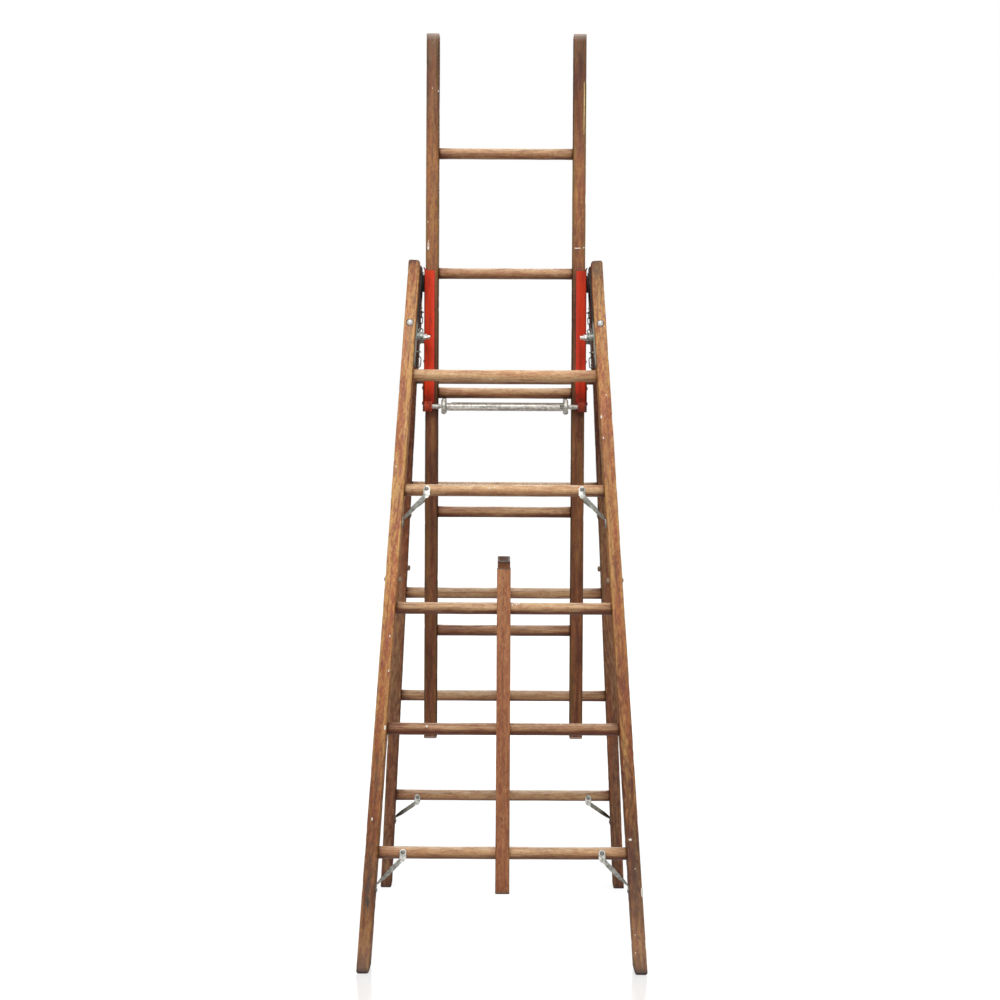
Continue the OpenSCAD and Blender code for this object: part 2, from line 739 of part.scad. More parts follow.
module fly_rail(side) {
    color("sienna") to_side(side) difference() {
        translate([fly_half - fly_rail_t / 2, 0, fly_low])
            linear_extrude(height = fly_top - fly_low) round_rect(fly_rail_t, fly_rail_d, arris_r);
        for (i = [1:rungs])
            translate([0, 0, fly_rung_z(i)]) rod_x(fly_half - fly_rail_t - 1, fly_half + 1, tenon_r + fit);
        for (y = [-1, 1])
            translate([fly_half - fly_rail_t / 2, y * fly_rail_d / 2, fly_top]) rotate([45, 0, 0])
                cube([2 * fly_rail_t, fly_chamfer * sqrt(2), fly_chamfer * sqrt(2)], center = true);
    }
}

module fly_rung(i) {
    color("burlywood") translate([0, 0, fly_rung_z(i)]) {
        rod_x(-fly_half + fly_rail_t + seat, fly_half - fly_rail_t - seat, fly_rung_r);
        rod_x(-fly_half + tenon_back, fly_half - tenon_back, tenon_r);
    }
}

// ---- nodes of the two base sections ----

module front_rail(side) { to_side(side) base_rail(OUTER); }
module front_rung(i) { color("tan") in_front() base_rung(i, OUTER); }
module front_center_post() { color("saddlebrown") in_front() center_post(); }
module front_hinge(side) { color("#222222") to_side(side) in_front() hinge_iron(front_ear_x, false); }
module front_brace(side, i) { color("lightgray") to_side(side) in_front() brace(i, OUTER); }
module front_brace_screws() { color("gray") in_front() brace_screws(OUTER); }
module front_hinge_screws() { color("#333333") in_front() hinge_screws(); }
module front_head_bolts() { color("gainsboro") in_front() head_bolts(); }
module front_side_bolts() { color("dimgray") in_front() side_bolts(); }
module front_stop_bolts() { color("gainsboro") in_front() stop_bolts(); }
module front_stop_spools() { color("silver") in_front() stop_spools(true); }

module rear_rail(side) { to_side(side) mirror([0, 1, 0]) base_rail(INNER); }
module rear_rung(i) { color("tan") in_rear() base_rung(i, INNER); }
module rear_center_post() { color("saddlebrown") in_rear() center_post(); }
module rear_hinge(side) { color("#222222") to_side(side) in_rear() hinge_iron(rear_ear_x, true); }
module rear_brace(side, i) { color("lightgray") to_side(side) in_rear() brace(i, INNER); }
module rear_brace_screws() { color("gray") in_rear() brace_screws(INNER); }
module rear_hinge_screws() { color("#333333") in_rear() hinge_screws(); }
module rear_head_bolts() { color("gainsboro") in_rear() head_bolts(); }
module rear_side_bolts() { color("dimgray") in_rear() side_bolts(); }
module rear_stop_bolts() { color("gainsboro") in_rear() stop_bolts(); }
module rear_stop_spools() { color("silver") in_rear() stop_spools(false); }

front_rail(LEFT);  // front_rail_left
front_rail(RIGHT);  // front_rail_right
front_rung(1);  // front_rung_1
front_rung(2);  // front_rung_2
front_rung(3);  // front_rung_3
front_rung(4);  // front_rung_4
front_rung(5);  // front_rung_5
front_center_post();
front_hinge(LEFT);  // front_hinge_left
front_hinge(RIGHT);  // front_hinge_right
front_brace(LEFT, braced_rungs[0]);  // front_lower_brace_left
front_brace(RIGHT, braced_rungs[0]);  // front_lower_brace_right
front_brace(LEFT, braced_rungs[1]);  // front_upper_brace_left
front_brace(RIGHT, braced_rungs[1]);  // front_upper_brace_right
front_brace_screws();
front_hinge_screws();
front_head_bolts();
front_side_bolts();
front_stop_bolts();
front_stop_spools();
limit_chains();
rear_rail(LEFT);  // rear_rail_left
rear_rail(RIGHT);  // rear_rail_right
rear_rung(1);  // rear_rung_1
rear_rung(2);  // rear_rung_2
rear_rung(3);  // rear_rung_3
rear_rung(4);  // rear_rung_4
rear_rung(5);  // rear_rung_5
rear_center_post();
rear_hinge(LEFT);  // rear_hinge_left
rear_hinge(RIGHT);  // rear_hinge_right
rear_brace(LEFT, braced_rungs[0]);  // rear_lower_brace_left
rear_brace(RIGHT, braced_rungs[0]);  // rear_lower_brace_right
rear_brace(LEFT, braced_rungs[1]);  // rear_upper_brace_left
rear_brace(RIGHT, braced_rungs[1]);  // rear_upper_brace_right
rear_brace_screws();
rear_hinge_screws();
rear_head_bolts();
rear_side_bolts();
rear_stop_bolts();
rear_stop_spools();
guide(LEFT);  // guide_left
guide(RIGHT);  // guide_right
lock_bracket(LEFT);  // lock_bracket_left
lock_bracket(RIGHT);  // lock_bracket_right
bracket_rivets();
pivot_pins();
lock_pin(LEFT);  // lock_pin_left
lock_pin(RIGHT);  // lock_pin_right
lock_tube();
lock_hook(LEFT);  // lock_hook_left
lock_hook(RIGHT);  // lock_hook_right
fly_rail(LEFT);  // fly_rail_left
fly_rail(RIGHT);  // fly_rail_right
fly_rung(1);  // fly_rung_1
fly_rung(2);  // fly_rung_2
fly_rung(3);  // fly_rung_3
fly_rung(4);  // fly_rung_4
fly_rung(5);  // fly_rung_5
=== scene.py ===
import bpy
import math
import numpy as np
from mathutils import Matrix, Vector


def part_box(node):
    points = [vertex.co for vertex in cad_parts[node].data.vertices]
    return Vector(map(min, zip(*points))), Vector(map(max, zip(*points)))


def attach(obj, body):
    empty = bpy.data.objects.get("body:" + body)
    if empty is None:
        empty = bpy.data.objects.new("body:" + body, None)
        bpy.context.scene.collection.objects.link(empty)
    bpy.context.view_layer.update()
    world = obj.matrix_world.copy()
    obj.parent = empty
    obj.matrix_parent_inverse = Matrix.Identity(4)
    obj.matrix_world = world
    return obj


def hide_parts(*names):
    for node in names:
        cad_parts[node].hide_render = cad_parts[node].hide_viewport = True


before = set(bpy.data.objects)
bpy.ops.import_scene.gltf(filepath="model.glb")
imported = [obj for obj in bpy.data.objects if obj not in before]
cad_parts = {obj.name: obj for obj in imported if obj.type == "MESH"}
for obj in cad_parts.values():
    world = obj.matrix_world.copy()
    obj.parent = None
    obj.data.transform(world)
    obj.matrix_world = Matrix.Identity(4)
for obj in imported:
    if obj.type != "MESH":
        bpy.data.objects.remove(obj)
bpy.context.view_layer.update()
print("frame loaded:", len(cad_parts), "solids")

# sizes of the ladder, in metres and degrees
ladder = dict(
    pivotZ=1.65, lean=13.0, planeGap=0.05, taper=3.18,
    railT=0.0302, railD=0.07, railHead=0.036, railInAtPivot=0.216,
    footToRung=0.273, basePitch=0.294, baseRungR=0.015, tenonR=0.011,
    postW=0.034, postD=0.057, postOver=0.096,
    flyHalf=0.2032, flyRailT=0.033, flyRailD=0.057, flyPitch=0.3048, flyRungR=0.01425,
    lockRungZ=1.371, flyLow=0.4854, flyTop=2.2806, guideLow=1.326, guideTop=1.69,
    headBoltS=0.129, braceIn=0.059,
)
lean = math.radians(ladder["lean"])
taper = math.tan(math.radians(ladder["taper"]))
halfT = ladder["railT"] / 2 / math.cos(math.radians(ladder["taper"]))
footU = (ladder["pivotZ"] + ladder["planeGap"] * math.sin(lean)) / math.cos(lean)
rungNumbers = (1, 2, 3, 4, 5)
sides = ((-1, "left"), (1, "right"))


# half the width between the rails at the distance u below the hinge, measured along the section
def railIn(u):
    return ladder["railInAtPivot"] + taper * u


# distance of a rung below the hinge: rungs are numbered from the floor
def rungU(number):
    return footU - ladder["footToRung"] - (number - 1) * ladder["basePitch"]


# large odd numbers that scatter the lattice points, and the bits that are kept
scatter = dict(x=374761393, y=668265263, z=2147483647, mix=1274126177, keep=0xFFFFFFFF, low=0xFFFF)


# value noise from -0.5 to 0.5: each whole-number lattice point has a random number, and a place takes
# the mean of its cell's eight corners, weighted on each axis by the smooth step 3 f^2 - 2 f^3
def noiseAt(points, seed=0):
    cell = np.floor(points).astype(np.int64)
    f = points - cell
    f = f * f * (3 - 2 * f)
    total = np.zeros(points.shape[:-1])
    for corner in np.ndindex(2, 2, 2):
        x, y, z = (cell[..., axis] + corner[axis] for axis in range(3))
        h = x * scatter["x"] + y * scatter["y"]
        h = (h + z * scatter["z"] + seed * scatter["mix"]) & scatter["keep"]
        h = ((h ^ (h >> 13)) * scatter["mix"]) & scatter["keep"]
        value = ((h ^ (h >> 16)) & scatter["low"]) / scatter["low"] - 0.5
        wx, wy, wz = (f[..., axis] if corner[axis] else 1 - f[..., axis] for axis in range(3))
        total = total + value * wx * wy * wz
    return total


# rounded rectangle, counter-clockwise: four quarter circles about the points (half - radius), joined by
# straight runs. halfX, halfY and radius are arrays over the rings. Also gives the outward normals and
# the nearness to an arris: 1 on the arcs, runShare * exp(-distance / reach) on a run
def outline(halfX, halfY, radius, reach, perSide=9, perCorner=6, runShare=0.8):
    halfX, halfY, radius = (np.asarray(v, float)[:, None] for v in (halfX, halfY, radius))
    xs, ys, nx, ny, edge = [], [], [], [], []
    corners = [(1, 1), (-1, 1), (-1, -1), (1, -1)]
    for number, (sx, sy) in enumerate(corners):
        angle = np.linspace(0, math.pi / 2, perCorner + 1)[None, :] + number * math.pi / 2
        cx = sx * (halfX - radius) + radius * np.cos(angle)
        cy = sy * (halfY - radius) + radius * np.sin(angle)
        tx, ty = corners[(number + 1) % 4]
        after = (number + 1) * math.pi / 2
        ex = tx * (halfX - radius) + radius * math.cos(after)
        ey = ty * (halfY - radius) + radius * math.sin(after)
        t = np.linspace(0, 1, perSide + 1)[None, 1:-1]
        runX = cx[:, -1:] * (1 - t) + ex * t
        runY = cy[:, -1:] * (1 - t) + ey * t
        run = np.hypot(ex - cx[:, -1:], ey - cy[:, -1:])
        near = np.exp(-np.minimum(t, 1 - t) * run / reach) * runShare
        xs += [cx, runX]
        ys += [cy, runY]
        nx += [np.broadcast_to(np.cos(angle), cx.shape), np.full(runX.shape, math.cos(after))]
        ny += [np.broadcast_to(np.sin(angle), cx.shape), np.full(runX.shape, math.sin(after))]
        edge += [np.full(cx.shape, 1.0), near]
    return tuple(np.concatenate(part, axis=1) for part in (xs, ys, nx, ny, edge))


# closed tube from a grid of points, rings along and points around: point k of ring i is vertex
# i * around + k, a quad joins points k and k + 1 of two rings, and a fan to each end's mean closes it
def tubeMesh(name, points, attributes, material, body, flip=False):
    rings, around = points.shape[:2]
    ends = np.stack([points[0].mean(0), points[-1].mean(0)])
    verts = np.concatenate([points.reshape(-1, 3), ends])
    here = np.arange(rings * around).reshape(rings, around)
    beside = np.roll(here, -1, axis=1)
    quads = np.stack([here[:-1], beside[:-1], beside[1:], here[1:]], -1).reshape(-1, 4)
    first = np.stack([np.full(around, rings * around), beside[0], here[0]], -1)
    last = np.stack([np.full(around, rings * around + 1), here[-1], beside[-1]], -1)
    if flip:
        quads, first, last = quads[:, ::-1], first[:, ::-1], last[:, ::-1]
    mesh = bpy.data.meshes.new(name)
    mesh.from_pydata(verts.tolist(), [], quads.tolist() + first.tolist() + last.tolist())
    for key, values in attributes.items():
        flat = values.reshape(rings * around, -1)
        flat = np.concatenate([flat, flat[:around].mean(0)[None], flat[-around:].mean(0)[None]])
        kind, field = ("FLOAT_VECTOR", "vector") if flat.shape[1] == 3 else ("FLOAT", "value")
        mesh.attributes.new(key, kind, "POINT").data.foreach_set(field, flat.ravel())
    mesh.polygons.foreach_set("use_smooth", np.full(len(mesh.polygons), True))
    mesh.materials.append(material)
    piece = bpy.data.objects.new(name, mesh)
    bpy.context.scene.collection.objects.link(piece)
    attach(piece, body)
    return piece


def move(x, y, z):
    return np.array(Matrix.Translation((x, y, z)))


def turn(angle, axis):
    return np.array(Matrix.Rotation(angle, 4, axis))


def toWorldPlaces(local, toWorld):
    return local @ toWorld[:3, :3].T + toWorld[:3, 3]


# noise of a piece at its local places times a scale, moved on by the seed so that pieces differ
def pieceNoise(local, scale, seed, offset=0, shift=1):
    return noiseAt(local * np.array(scale) + seed * shift, seed + offset)


# a level given at some heights, read between them along straight lines
def levelAt(height, steps):
    return np.interp(height, [step[0] for step in steps], [step[1] for step in steps])


# shared by timber and rungs: each piece's own part of the grain, and the darkest tone
grainShift = np.array([0.31, 0.17, 0.83])
toneTop = 1.2

# scales are per metre, across, deep and along the grain
timberLook = dict(
    arcSteps=6, capRings=(0.72, 0.4, 0.1), arrisPitch=9, arrisSeed=3.7, arrisNoise=0.7, arrisLeast=0.0006,
    hollowScale=(60, 60, 14), knockScale=(150, 150, 75), knockFrom=0.16, fadeLength=0.004, fadeLeast=0.15,
    capScale=260, capRough=0.0006, patchScale=(70, 70, 7), stainScale=(260, 260, 60), stainNoise=1.1,
    innerSlope=3, innerFrom=1.5)


# straight timber with a rounded rectangle as its section. A ring's height is low * (1 - t) + high * t.
# Each end is drawn in by a quarter circle and closed by three smaller rings. The surface is pushed in
# along its normal by slow noise (hollows) and, at the arrises, by what faster noise has above a level
# (knocks). marks are dark stains of strength exp(-(x / rx)^2 - (z / rz)^2), on the face at -y
def timber(name, toWorld, halfX, halfY, lowZ, highZ, wear, seed, material, body,
           tone, pale, mirrored=False, topRound=None, inner=0.0, marks=()):
    look = timberLook
    length = highZ(0.0, 0.0) - lowZ(0.0, 0.0)
    steps = int(length / wear["step"])
    lowR, highR = wear["lowRound"], wear["highRound"]
    arc = np.linspace(0, math.pi / 2, look["arcSteps"])
    cap = np.array(look["capRings"])
    atEnd = len(cap) + len(arc)
    t = np.concatenate([np.zeros(atEnd), np.linspace(0, 1, steps), np.ones(atEnd)])
    endShift = np.concatenate([np.full(len(cap), -lowR), -lowR * np.sin(arc[::-1]), np.zeros(steps),
                               highR * np.sin(arc), np.full(len(cap), highR)])
    inset = np.concatenate([np.full(len(cap), lowR), lowR * (1 - np.cos(arc[::-1])), np.zeros(steps),
                            highR * (1 - np.cos(arc)), np.full(len(cap), highR)])
    shrink = np.concatenate([cap[::-1], np.ones(2 * len(arc) + steps), cap])[:, None]
    isCap = shrink < 1
    along = t * length
    ring = np.stack([along * look["arrisPitch"], np.full_like(along, seed * look["arrisSeed"]),
                     np.zeros_like(along)], -1)
    radius = wear["arris"] * (1 + look["arrisNoise"] * noiseAt(ring, seed))
    radius = np.maximum(radius - 0.5 * inset, look["arrisLeast"])
    x, y, nx, ny, edge = outline(halfX - inset, halfY - inset, radius, wear["edgeReach"])
    x, y = x * shrink, y * shrink
    headCut = 0.0
    if topRound:    # head worn round: more on the inner corner than on the outer one
        inDrop = np.clip((-x - (halfX - topRound)) / topRound, 0, 1)
        outDrop = np.clip((x - (halfX - topRound / 2)) / (topRound / 2), 0, 1)
        headCut = topRound * (1 - np.sqrt(1 - inDrop ** 2)) + topRound / 2 * (1 - np.sqrt(1 - outDrop ** 2))
    low, high = lowZ(x, y) + lowR, highZ(x, y) - highR - headCut
    z = low * (1 - t[:, None]) + high * t[:, None] + endShift[:, None]
    local = np.stack([x, y, z], -1)
    hollow = pieceNoise(local, look["hollowScale"], seed) * wear["hollow"]
    knock = pieceNoise(local, look["knockScale"], seed, 5, 2) - look["knockFrom"]
    push = hollow - wear["hollow"] * 0.5 - np.clip(knock, 0, 1) * edge * wear["knock"]
    toEnd = np.minimum(along, length - along)[:, None]
    push = push * ~isCap * np.clip(toEnd / look["fadeLength"], look["fadeLeast"], 1)
    local[..., 0] += nx * push
    local[..., 1] += ny * push
    rough = (pieceNoise(local, look["capScale"], seed, 9) + 0.5) * look["capRough"]
    local[..., 2] += isCap * rough * np.where(t < 0.5, 1, -1)[:, None]
    world = toWorldPlaces(local, toWorld)
    height = world[..., 2]
    # painted shade: the faces turned inwards are darkened through the tone by the wear's inner share, and
    # they also get a lower gloss
    innerFace = np.clip(nx * inner * look["innerSlope"] - look["innerFrom"], 0, 1)
    # dirt and painted shade together: the tone by height holds both, and the painted shade of the inner
    # faces is added
    grimeAndShade = levelAt(height, tone) + wear["innerShade"] * innerFace
    grimeAndShade = grimeAndShade + wear["patch"] * pieceNoise(local, look["patchScale"], seed, 3)
    soot = np.zeros_like(x)
    ragged = 1 + look["stainNoise"] * pieceNoise(local, look["stainScale"], seed, 4)
    for mx, mz, rx, rz, amount in marks:
        spot = np.exp(-((x - mx) / rx) ** 2 - ((local[..., 2] - mz) / rz) ** 2)
        soot = soot + amount * spot * ragged * (y < 0)
    # the ends are coloured: end grain and dirt, with painted shade on the rounded underside at a rail's foot
    endGrainAndFootShade = np.maximum(np.clip(1 - along / wear["footDark"], 0, 1),
                          np.clip(1 - (length - along) / wear["headBand"], 0, 1) * wear["headShare"])
    even = np.ones_like(x)
    attributes = dict(grain=local + grainShift * seed, edge=edge, tone=np.clip(grimeAndShade, 0, toneTop),
                      endGrainAndFootShade=endGrainAndFootShade[:, None] * even, pale=levelAt(height, pale) * even,
                      soot=np.clip(soot, 0, 1), matt=np.maximum(innerFace, isCap),
                      dust=wear["dust"] * np.clip(1 - height / wear["dustReach"], 0, 1))
    return tubeMesh(name, world, attributes, material, body, mirrored)


rungLook = dict(
    around=44, rim=0.0012, arcSteps=5, capRings=(0.1, 0.5, 0.85), middleFade=0.02, treadPlace=0.45,
    treadSpread=0.4, lumpScale=(22, 70, 70), patch=0.35, patchScale=(9, 80, 80),
    # underFrom and underSlope shape the painted shade on the underside; rubSlope and rubFrom shape the
    # rubbed top, which is partly a painted highlight
    underFrom=0.05, underSlope=1.25, rubSlope=1.3, rubFrom=0.2)


# turned rung with tenons: rings of a circle along X, the ends and shoulders cut to the rails' slanted
# faces, x = reach - slant * height. The tread is worn in where feet stand, halfway to each rail, by
# exp(-((|x| - place) / spread)^2) times the square of the upward part of the normal
def rung(name, toWorld, radius, tenonR, innerX, outerX, slant, wear, seed, material, body, tone):
    look = rungLook
    steps = int(2 * innerX / wear["step"])
    rim = look["rim"]
    arc = np.linspace(0, math.pi / 2, look["arcSteps"])
    bendR, bendX = rim * (1 - np.sin(arc)), rim * (1 - np.cos(arc))
    cap = np.array(look["capRings"])
    # one half, from the middle of the tenon's end to the shoulder: radius and distance from the cut
    endR, endX = np.concatenate([cap * tenonR, tenonR - bendR]), np.concatenate([0 * cap, bendX])
    shoulderR = np.concatenate([[tenonR, radius - rim], radius - bendR])
    shoulderX = np.concatenate([[0.0, 0.0], bendX])
    r = np.concatenate([endR, shoulderR, np.full(steps, radius), shoulderR[::-1], endR[::-1]])
    inward = np.concatenate([endX, shoulderX, np.full(steps, rim), shoulderX[::-1], endX[::-1]])
    atEnd, half = len(endR), len(endR) + len(shoulderR)
    isOuter = np.concatenate([np.ones(atEnd), np.zeros(len(r) - 2 * atEnd), np.ones(atEnd)])[:, None]
    side = np.concatenate([-np.ones(half), np.linspace(-1, 1, steps), np.ones(half)])
    angle = np.linspace(0, 2 * math.pi, look["around"], endpoint=False)
    even = np.ones((len(r), look["around"]))
    up, out = np.sin(angle) * even, np.cos(angle) * even
    reach = np.where(isOuter > 0.5, outerX, innerX) - slant * up * r[:, None] - inward[:, None]
    x = side[:, None] * reach
    local = np.stack([x, out * r[:, None], up * r[:, None]], -1)
    middle = np.clip((innerX - np.abs(x)) / look["middleFade"], 0, 1)
    fromTread = (np.abs(x) - innerX * look["treadPlace"]) / (innerX * look["treadSpread"])
    tread = np.clip(up, 0, 1) ** 2 * np.exp(-fromTread ** 2)
    lump = pieceNoise(local, look["lumpScale"], seed) * wear["hollow"]
    push = (lump - wear["hollow"] * 0.5 - tread * wear["tread"]) * middle
    local[..., 1] += out * push
    local[..., 2] += up * push
    nearRail = np.exp(-np.clip(innerX - np.abs(x), 0, 1) / wear["dirtReach"])
    # painted shade: the underside of the rung is darkened through the tone, by the wear's under share
    undersideShade = np.clip((-up - look["underFrom"]) * look["underSlope"], 0, 1)
    grimeAndShade = tone + nearRail * wear["endDirt"] + undersideShade * wear["under"]
    grimeAndShade = grimeAndShade + look["patch"] * pieceNoise(local, look["patchScale"], seed, 3)
    grainAxes = np.stack([local[..., 1], local[..., 2], local[..., 0]], -1)
    # rubbed wood on the top of the rung, lighter partly as a painted highlight from above
    rubAndHighlight = np.clip(up * look["rubSlope"] - look["rubFrom"], 0, 1) * (1 - nearRail)
    attributes = dict(grain=grainAxes + grainShift * seed, edge=np.zeros_like(x),
                      tone=np.clip(grimeAndShade, 0, toneTop), pale=np.clip(rubAndHighlight, 0, 1), endGrainAndFootShade=isOuter * even)
    # X runs along, so the circle turns clockwise seen from +X: turn the faces round
    return tubeMesh(name, toWorldPlaces(local, toWorld), attributes, material, body, True)


# colour code to linear light: each part / 12.92, or ((part + 0.055) / 1.055) ^ 2.4 when above 0.04045
def shade(code):
    parts = [int(code[i:i + 2], 16) / 255 for i in (0, 2, 4)]
    return tuple(p / 12.92 if p <= 0.04045 else ((p + 0.055) / 1.055) ** 2.4 for p in parts) + (1.0,)


# sets a node's inputs: a socket is linked, a colour code or a value becomes the input's own
def feed(tree, node, values):
    for key, value in values.items():
        if isinstance(value, bpy.types.NodeSocket):
            tree.links.new(value, node.inputs[key])
        else:
            node.inputs[key].default_value = shade(value) if isinstance(value, str) else value
    return node


def add(tree, kind, values=None, **settings):
    node = tree.nodes.new("ShaderNode" + kind)
    for key, value in settings.items():
        setattr(node, key, value)
    return feed(tree, node, values or {})


def calc(tree, operation, first, second=0.0, third=None, clamp=False):
    values = {0: first, 1: second}
    if third is not None:
        values[2] = third
    return add(tree, "Math", values, operation=operation, use_clamp=clamp).outputs[0]


def times(tree, first, second, clamp=False):
    return calc(tree, "MULTIPLY", first, second, clamp=clamp)


def vectorCalc(tree, operation, first, second=None, scale=None):
    values = {0: first}
    if second is not None:
        values[1] = second
    if scale is not None:
        values["Scale"] = scale
    return add(tree, "VectorMath", values, operation=operation).outputs[0]


def splitVector(tree, vector):
    return add(tree, "SeparateXYZ", {0: vector}).outputs


def blend(tree, amount, first, second, mode="MIX"):
    node = add(tree, "Mix", data_type="RGBA", blend_type=mode, clamp_factor=True)
    return feed(tree, node, {0: amount, 6: first, 7: second}).outputs[2]


def smooth(tree, value, low, high, toLow=0.0, toHigh=1.0):
    return add(tree, "MapRange", {"Value": value, "From Min": low, "From Max": high,
               "To Min": toLow, "To Max": toHigh}, interpolation_type="SMOOTHSTEP").outputs[0]


# smooth step between two distances from a place
def stepNear(tree, value, place, span, full=1.0):
    return smooth(tree, value, place + span[0], place + span[1], 0.0, full)


# noise at vector * stretch, so the stretch is the number of features per metre on each axis
def noiseNode(tree, vector, stretch, detail=2.0, roughness=0.5, output="Fac"):
    scaled = vectorCalc(tree, "MULTIPLY", vector, stretch)
    return add(tree, "TexNoise", {"Vector": scaled, "Scale": 1.0, "Detail": detail,
               "Roughness": roughness}).outputs[output]


def bumpNormal(tree, height, strength, distance):
    return add(tree, "Bump", {"Strength": strength, "Distance": distance, "Height": height}).outputs[0]


# node group with a vector and some numbers going in, and numbers coming out
def newGroup(name, numbers, outputs):
    tree = bpy.data.node_groups.new(name, "ShaderNodeTree")
    tree.interface.new_socket("Vector", in_out="INPUT", socket_type="NodeSocketVector")
    for label, value in numbers.items():
        tree.interface.new_socket(label, in_out="INPUT", socket_type="NodeSocketFloat").default_value = value
    for label in outputs:
        tree.interface.new_socket(label, in_out="OUTPUT", socket_type="NodeSocketFloat")
    return tree, tree.nodes.new("NodeGroupInput").outputs, tree.nodes.new("NodeGroupOutput").inputs


# scales are per metre, across, deep and along the grain
figureLook = dict(
    wanderScale=(14, 14, 2.4), knotScale=(11, 11, 3.1), knotSharp=-14.0, mirrorX=0.055, mirrorY=0.07,
    pithDepth=0.012, rippleScale=(90, 90, 7), ripple=1.1, lateRise=(0.25, 0.8),
    lateFall=(0.86, 1.0, 1.0, 0.0), fadeScale=(30, 30, 3.5), fade=(0.36, 0.62, 0.05, 1.0), ringHeight=-0.4,
    noises=dict(    # stretch, detail and roughness of the noises that follow the straight grain
        Fibre=((620, 620, 16), 3.0, 0.6), Blotch=((38, 38, 9), 3.0, 0.6), Cloud=((60, 60, 3.0), 2.0, 0.5),
        Streak=((170, 170, 6), 2.0, 0.5)),
    bentNoises=dict(Mottle=((120, 120, 32), 3.0, 0.62), Speck=((330, 330, 105), 3.0, 0.7)))


# wood seen as a log. The distance from the pith is sqrt(across^2 + deep^2), where across leans with the
# grain and both fold back, plus a push of knots * exp(-14 d^2) around each knot. The fraction of that
# distance over the ring gap gives the ring's phase, which darkens slowly and ends sharply
def makeWoodFigure():
    look = figureLook
    numbers = {"Ring Gap": 0.005, "Warp": 0.02, "Lean": 0.04, "Knots": 0.012}
    tree, given, result = newGroup("woodFigure", numbers, ("Rings", "Fibre", "Blotch", "Cloud", "Streak",
                                                           "Mottle", "Speck", "Height"))
    place = given["Vector"]
    wander = noiseNode(tree, place, look["wanderScale"], output="Color")
    wander = vectorCalc(tree, "SUBTRACT", wander, (0.5, 0.5, 0.5))
    wander = vectorCalc(tree, "SCALE", wander, scale=given["Warp"])
    bent = vectorCalc(tree, "ADD", place, wander)
    parts = splitVector(tree, bent)
    knotPlace = vectorCalc(tree, "MULTIPLY", place, look["knotScale"])
    knot = add(tree, "TexVoronoi", {"Vector": knotPlace, "Scale": 1.0}).outputs["Distance"]
    knotPush = calc(tree, "EXPONENT", times(tree, calc(tree, "POWER", knot, 2.0), look["knotSharp"]))
    leaned = calc(tree, "MULTIPLY_ADD", parts["Z"], given["Lean"], parts["X"])
    across = calc(tree, "PINGPONG", leaned, look["mirrorX"])
    deep = calc(tree, "ADD", calc(tree, "PINGPONG", parts["Y"], look["mirrorY"]), look["pithDepth"])
    fromPith = calc(tree, "SQRT", calc(tree, "ADD", calc(tree, "POWER", across, 2.0),
                                       calc(tree, "POWER", deep, 2.0)))
    fromPith = calc(tree, "ADD", fromPith, times(tree, knotPush, given["Knots"]))
    ripple = times(tree, noiseNode(tree, place, look["rippleScale"], 1.0), look["ripple"])
    phase = calc(tree, "ADD", calc(tree, "DIVIDE", fromPith, given["Ring Gap"]), ripple)
    phase = calc(tree, "FRACT", phase)
    late = times(tree, smooth(tree, phase, *look["lateRise"]), smooth(tree, phase, *look["lateFall"]))
    strength = smooth(tree, noiseNode(tree, place, look["fadeScale"]), *look["fade"])
    figure = {"Rings": times(tree, late, strength)}
    for vector, noises in ((place, look["noises"]), (bent, look["bentNoises"])):
        for key, (stretch, detail, roughness) in noises.items():
            figure[key] = noiseNode(tree, vector, stretch, detail, roughness)
    sunk = times(tree, figure["Rings"], look["ringHeight"])
    figure["Height"] = calc(tree, "SUBTRACT", figure["Fibre"], sunk)
    for key, value in figure.items():
        tree.links.new(value, result[key])
    return tree


# a mask broken up by noise, for rubbed edges, chips and dirt that gathers: it rises from 0 to 1 over the
# softness where the noise, at 1 / grain size, passes 1 - amount
def makeBrokenMask():
    tree, given, result = newGroup("brokenMask", {"Amount": 0.5, "Grain Size": 0.004, "Softness": 0.12},
                                   ("Mask",))
    size = calc(tree, "DIVIDE", 1.0, given["Grain Size"])
    place = vectorCalc(tree, "SCALE", given["Vector"], scale=size)
    noise = add(tree, "TexNoise", {"Vector": place, "Scale": 1.0, "Detail": 4.0,
                "Roughness": 0.62}).outputs["Fac"]
    noise = smooth(tree, noise, 0.25, 0.75)
    level = calc(tree, "SUBTRACT", 1.0, given["Amount"])
    top = calc(tree, "ADD", level, given["Softness"])
    mask = add(tree, "MapRange", {"Value": noise, "From Min": level, "From Max": top}).outputs[0]
    tree.links.new(mask, result["Mask"])
    return tree


woodFigure = makeWoodFigure()
brokenMask = makeBrokenMask()


def useGroup(tree, group, values):
    return feed(tree, add(tree, "Group", node_tree=group), values).outputs


def broken(tree, place, amount, grain):
    return useGroup(tree, brokenMask, {"Vector": place, "Amount": amount, "Grain Size": grain[0],
                                       "Softness": grain[1]})["Mask"]


def newMaterial(name):
    material = bpy.data.materials.new(name)
    material.use_nodes = True
    tree = material.node_tree
    tree.nodes.clear()
    surface = add(tree, "BsdfPrincipled")
    add(tree, "OutputMaterial", {0: surface.outputs[0]})
    return material, tree, surface


def objectPlace(tree):
    return add(tree, "TexCoord").outputs["Object"]


def attribute(tree, name, output="Fac"):
    return add(tree, "Attribute", attribute_name=name).outputs[output]


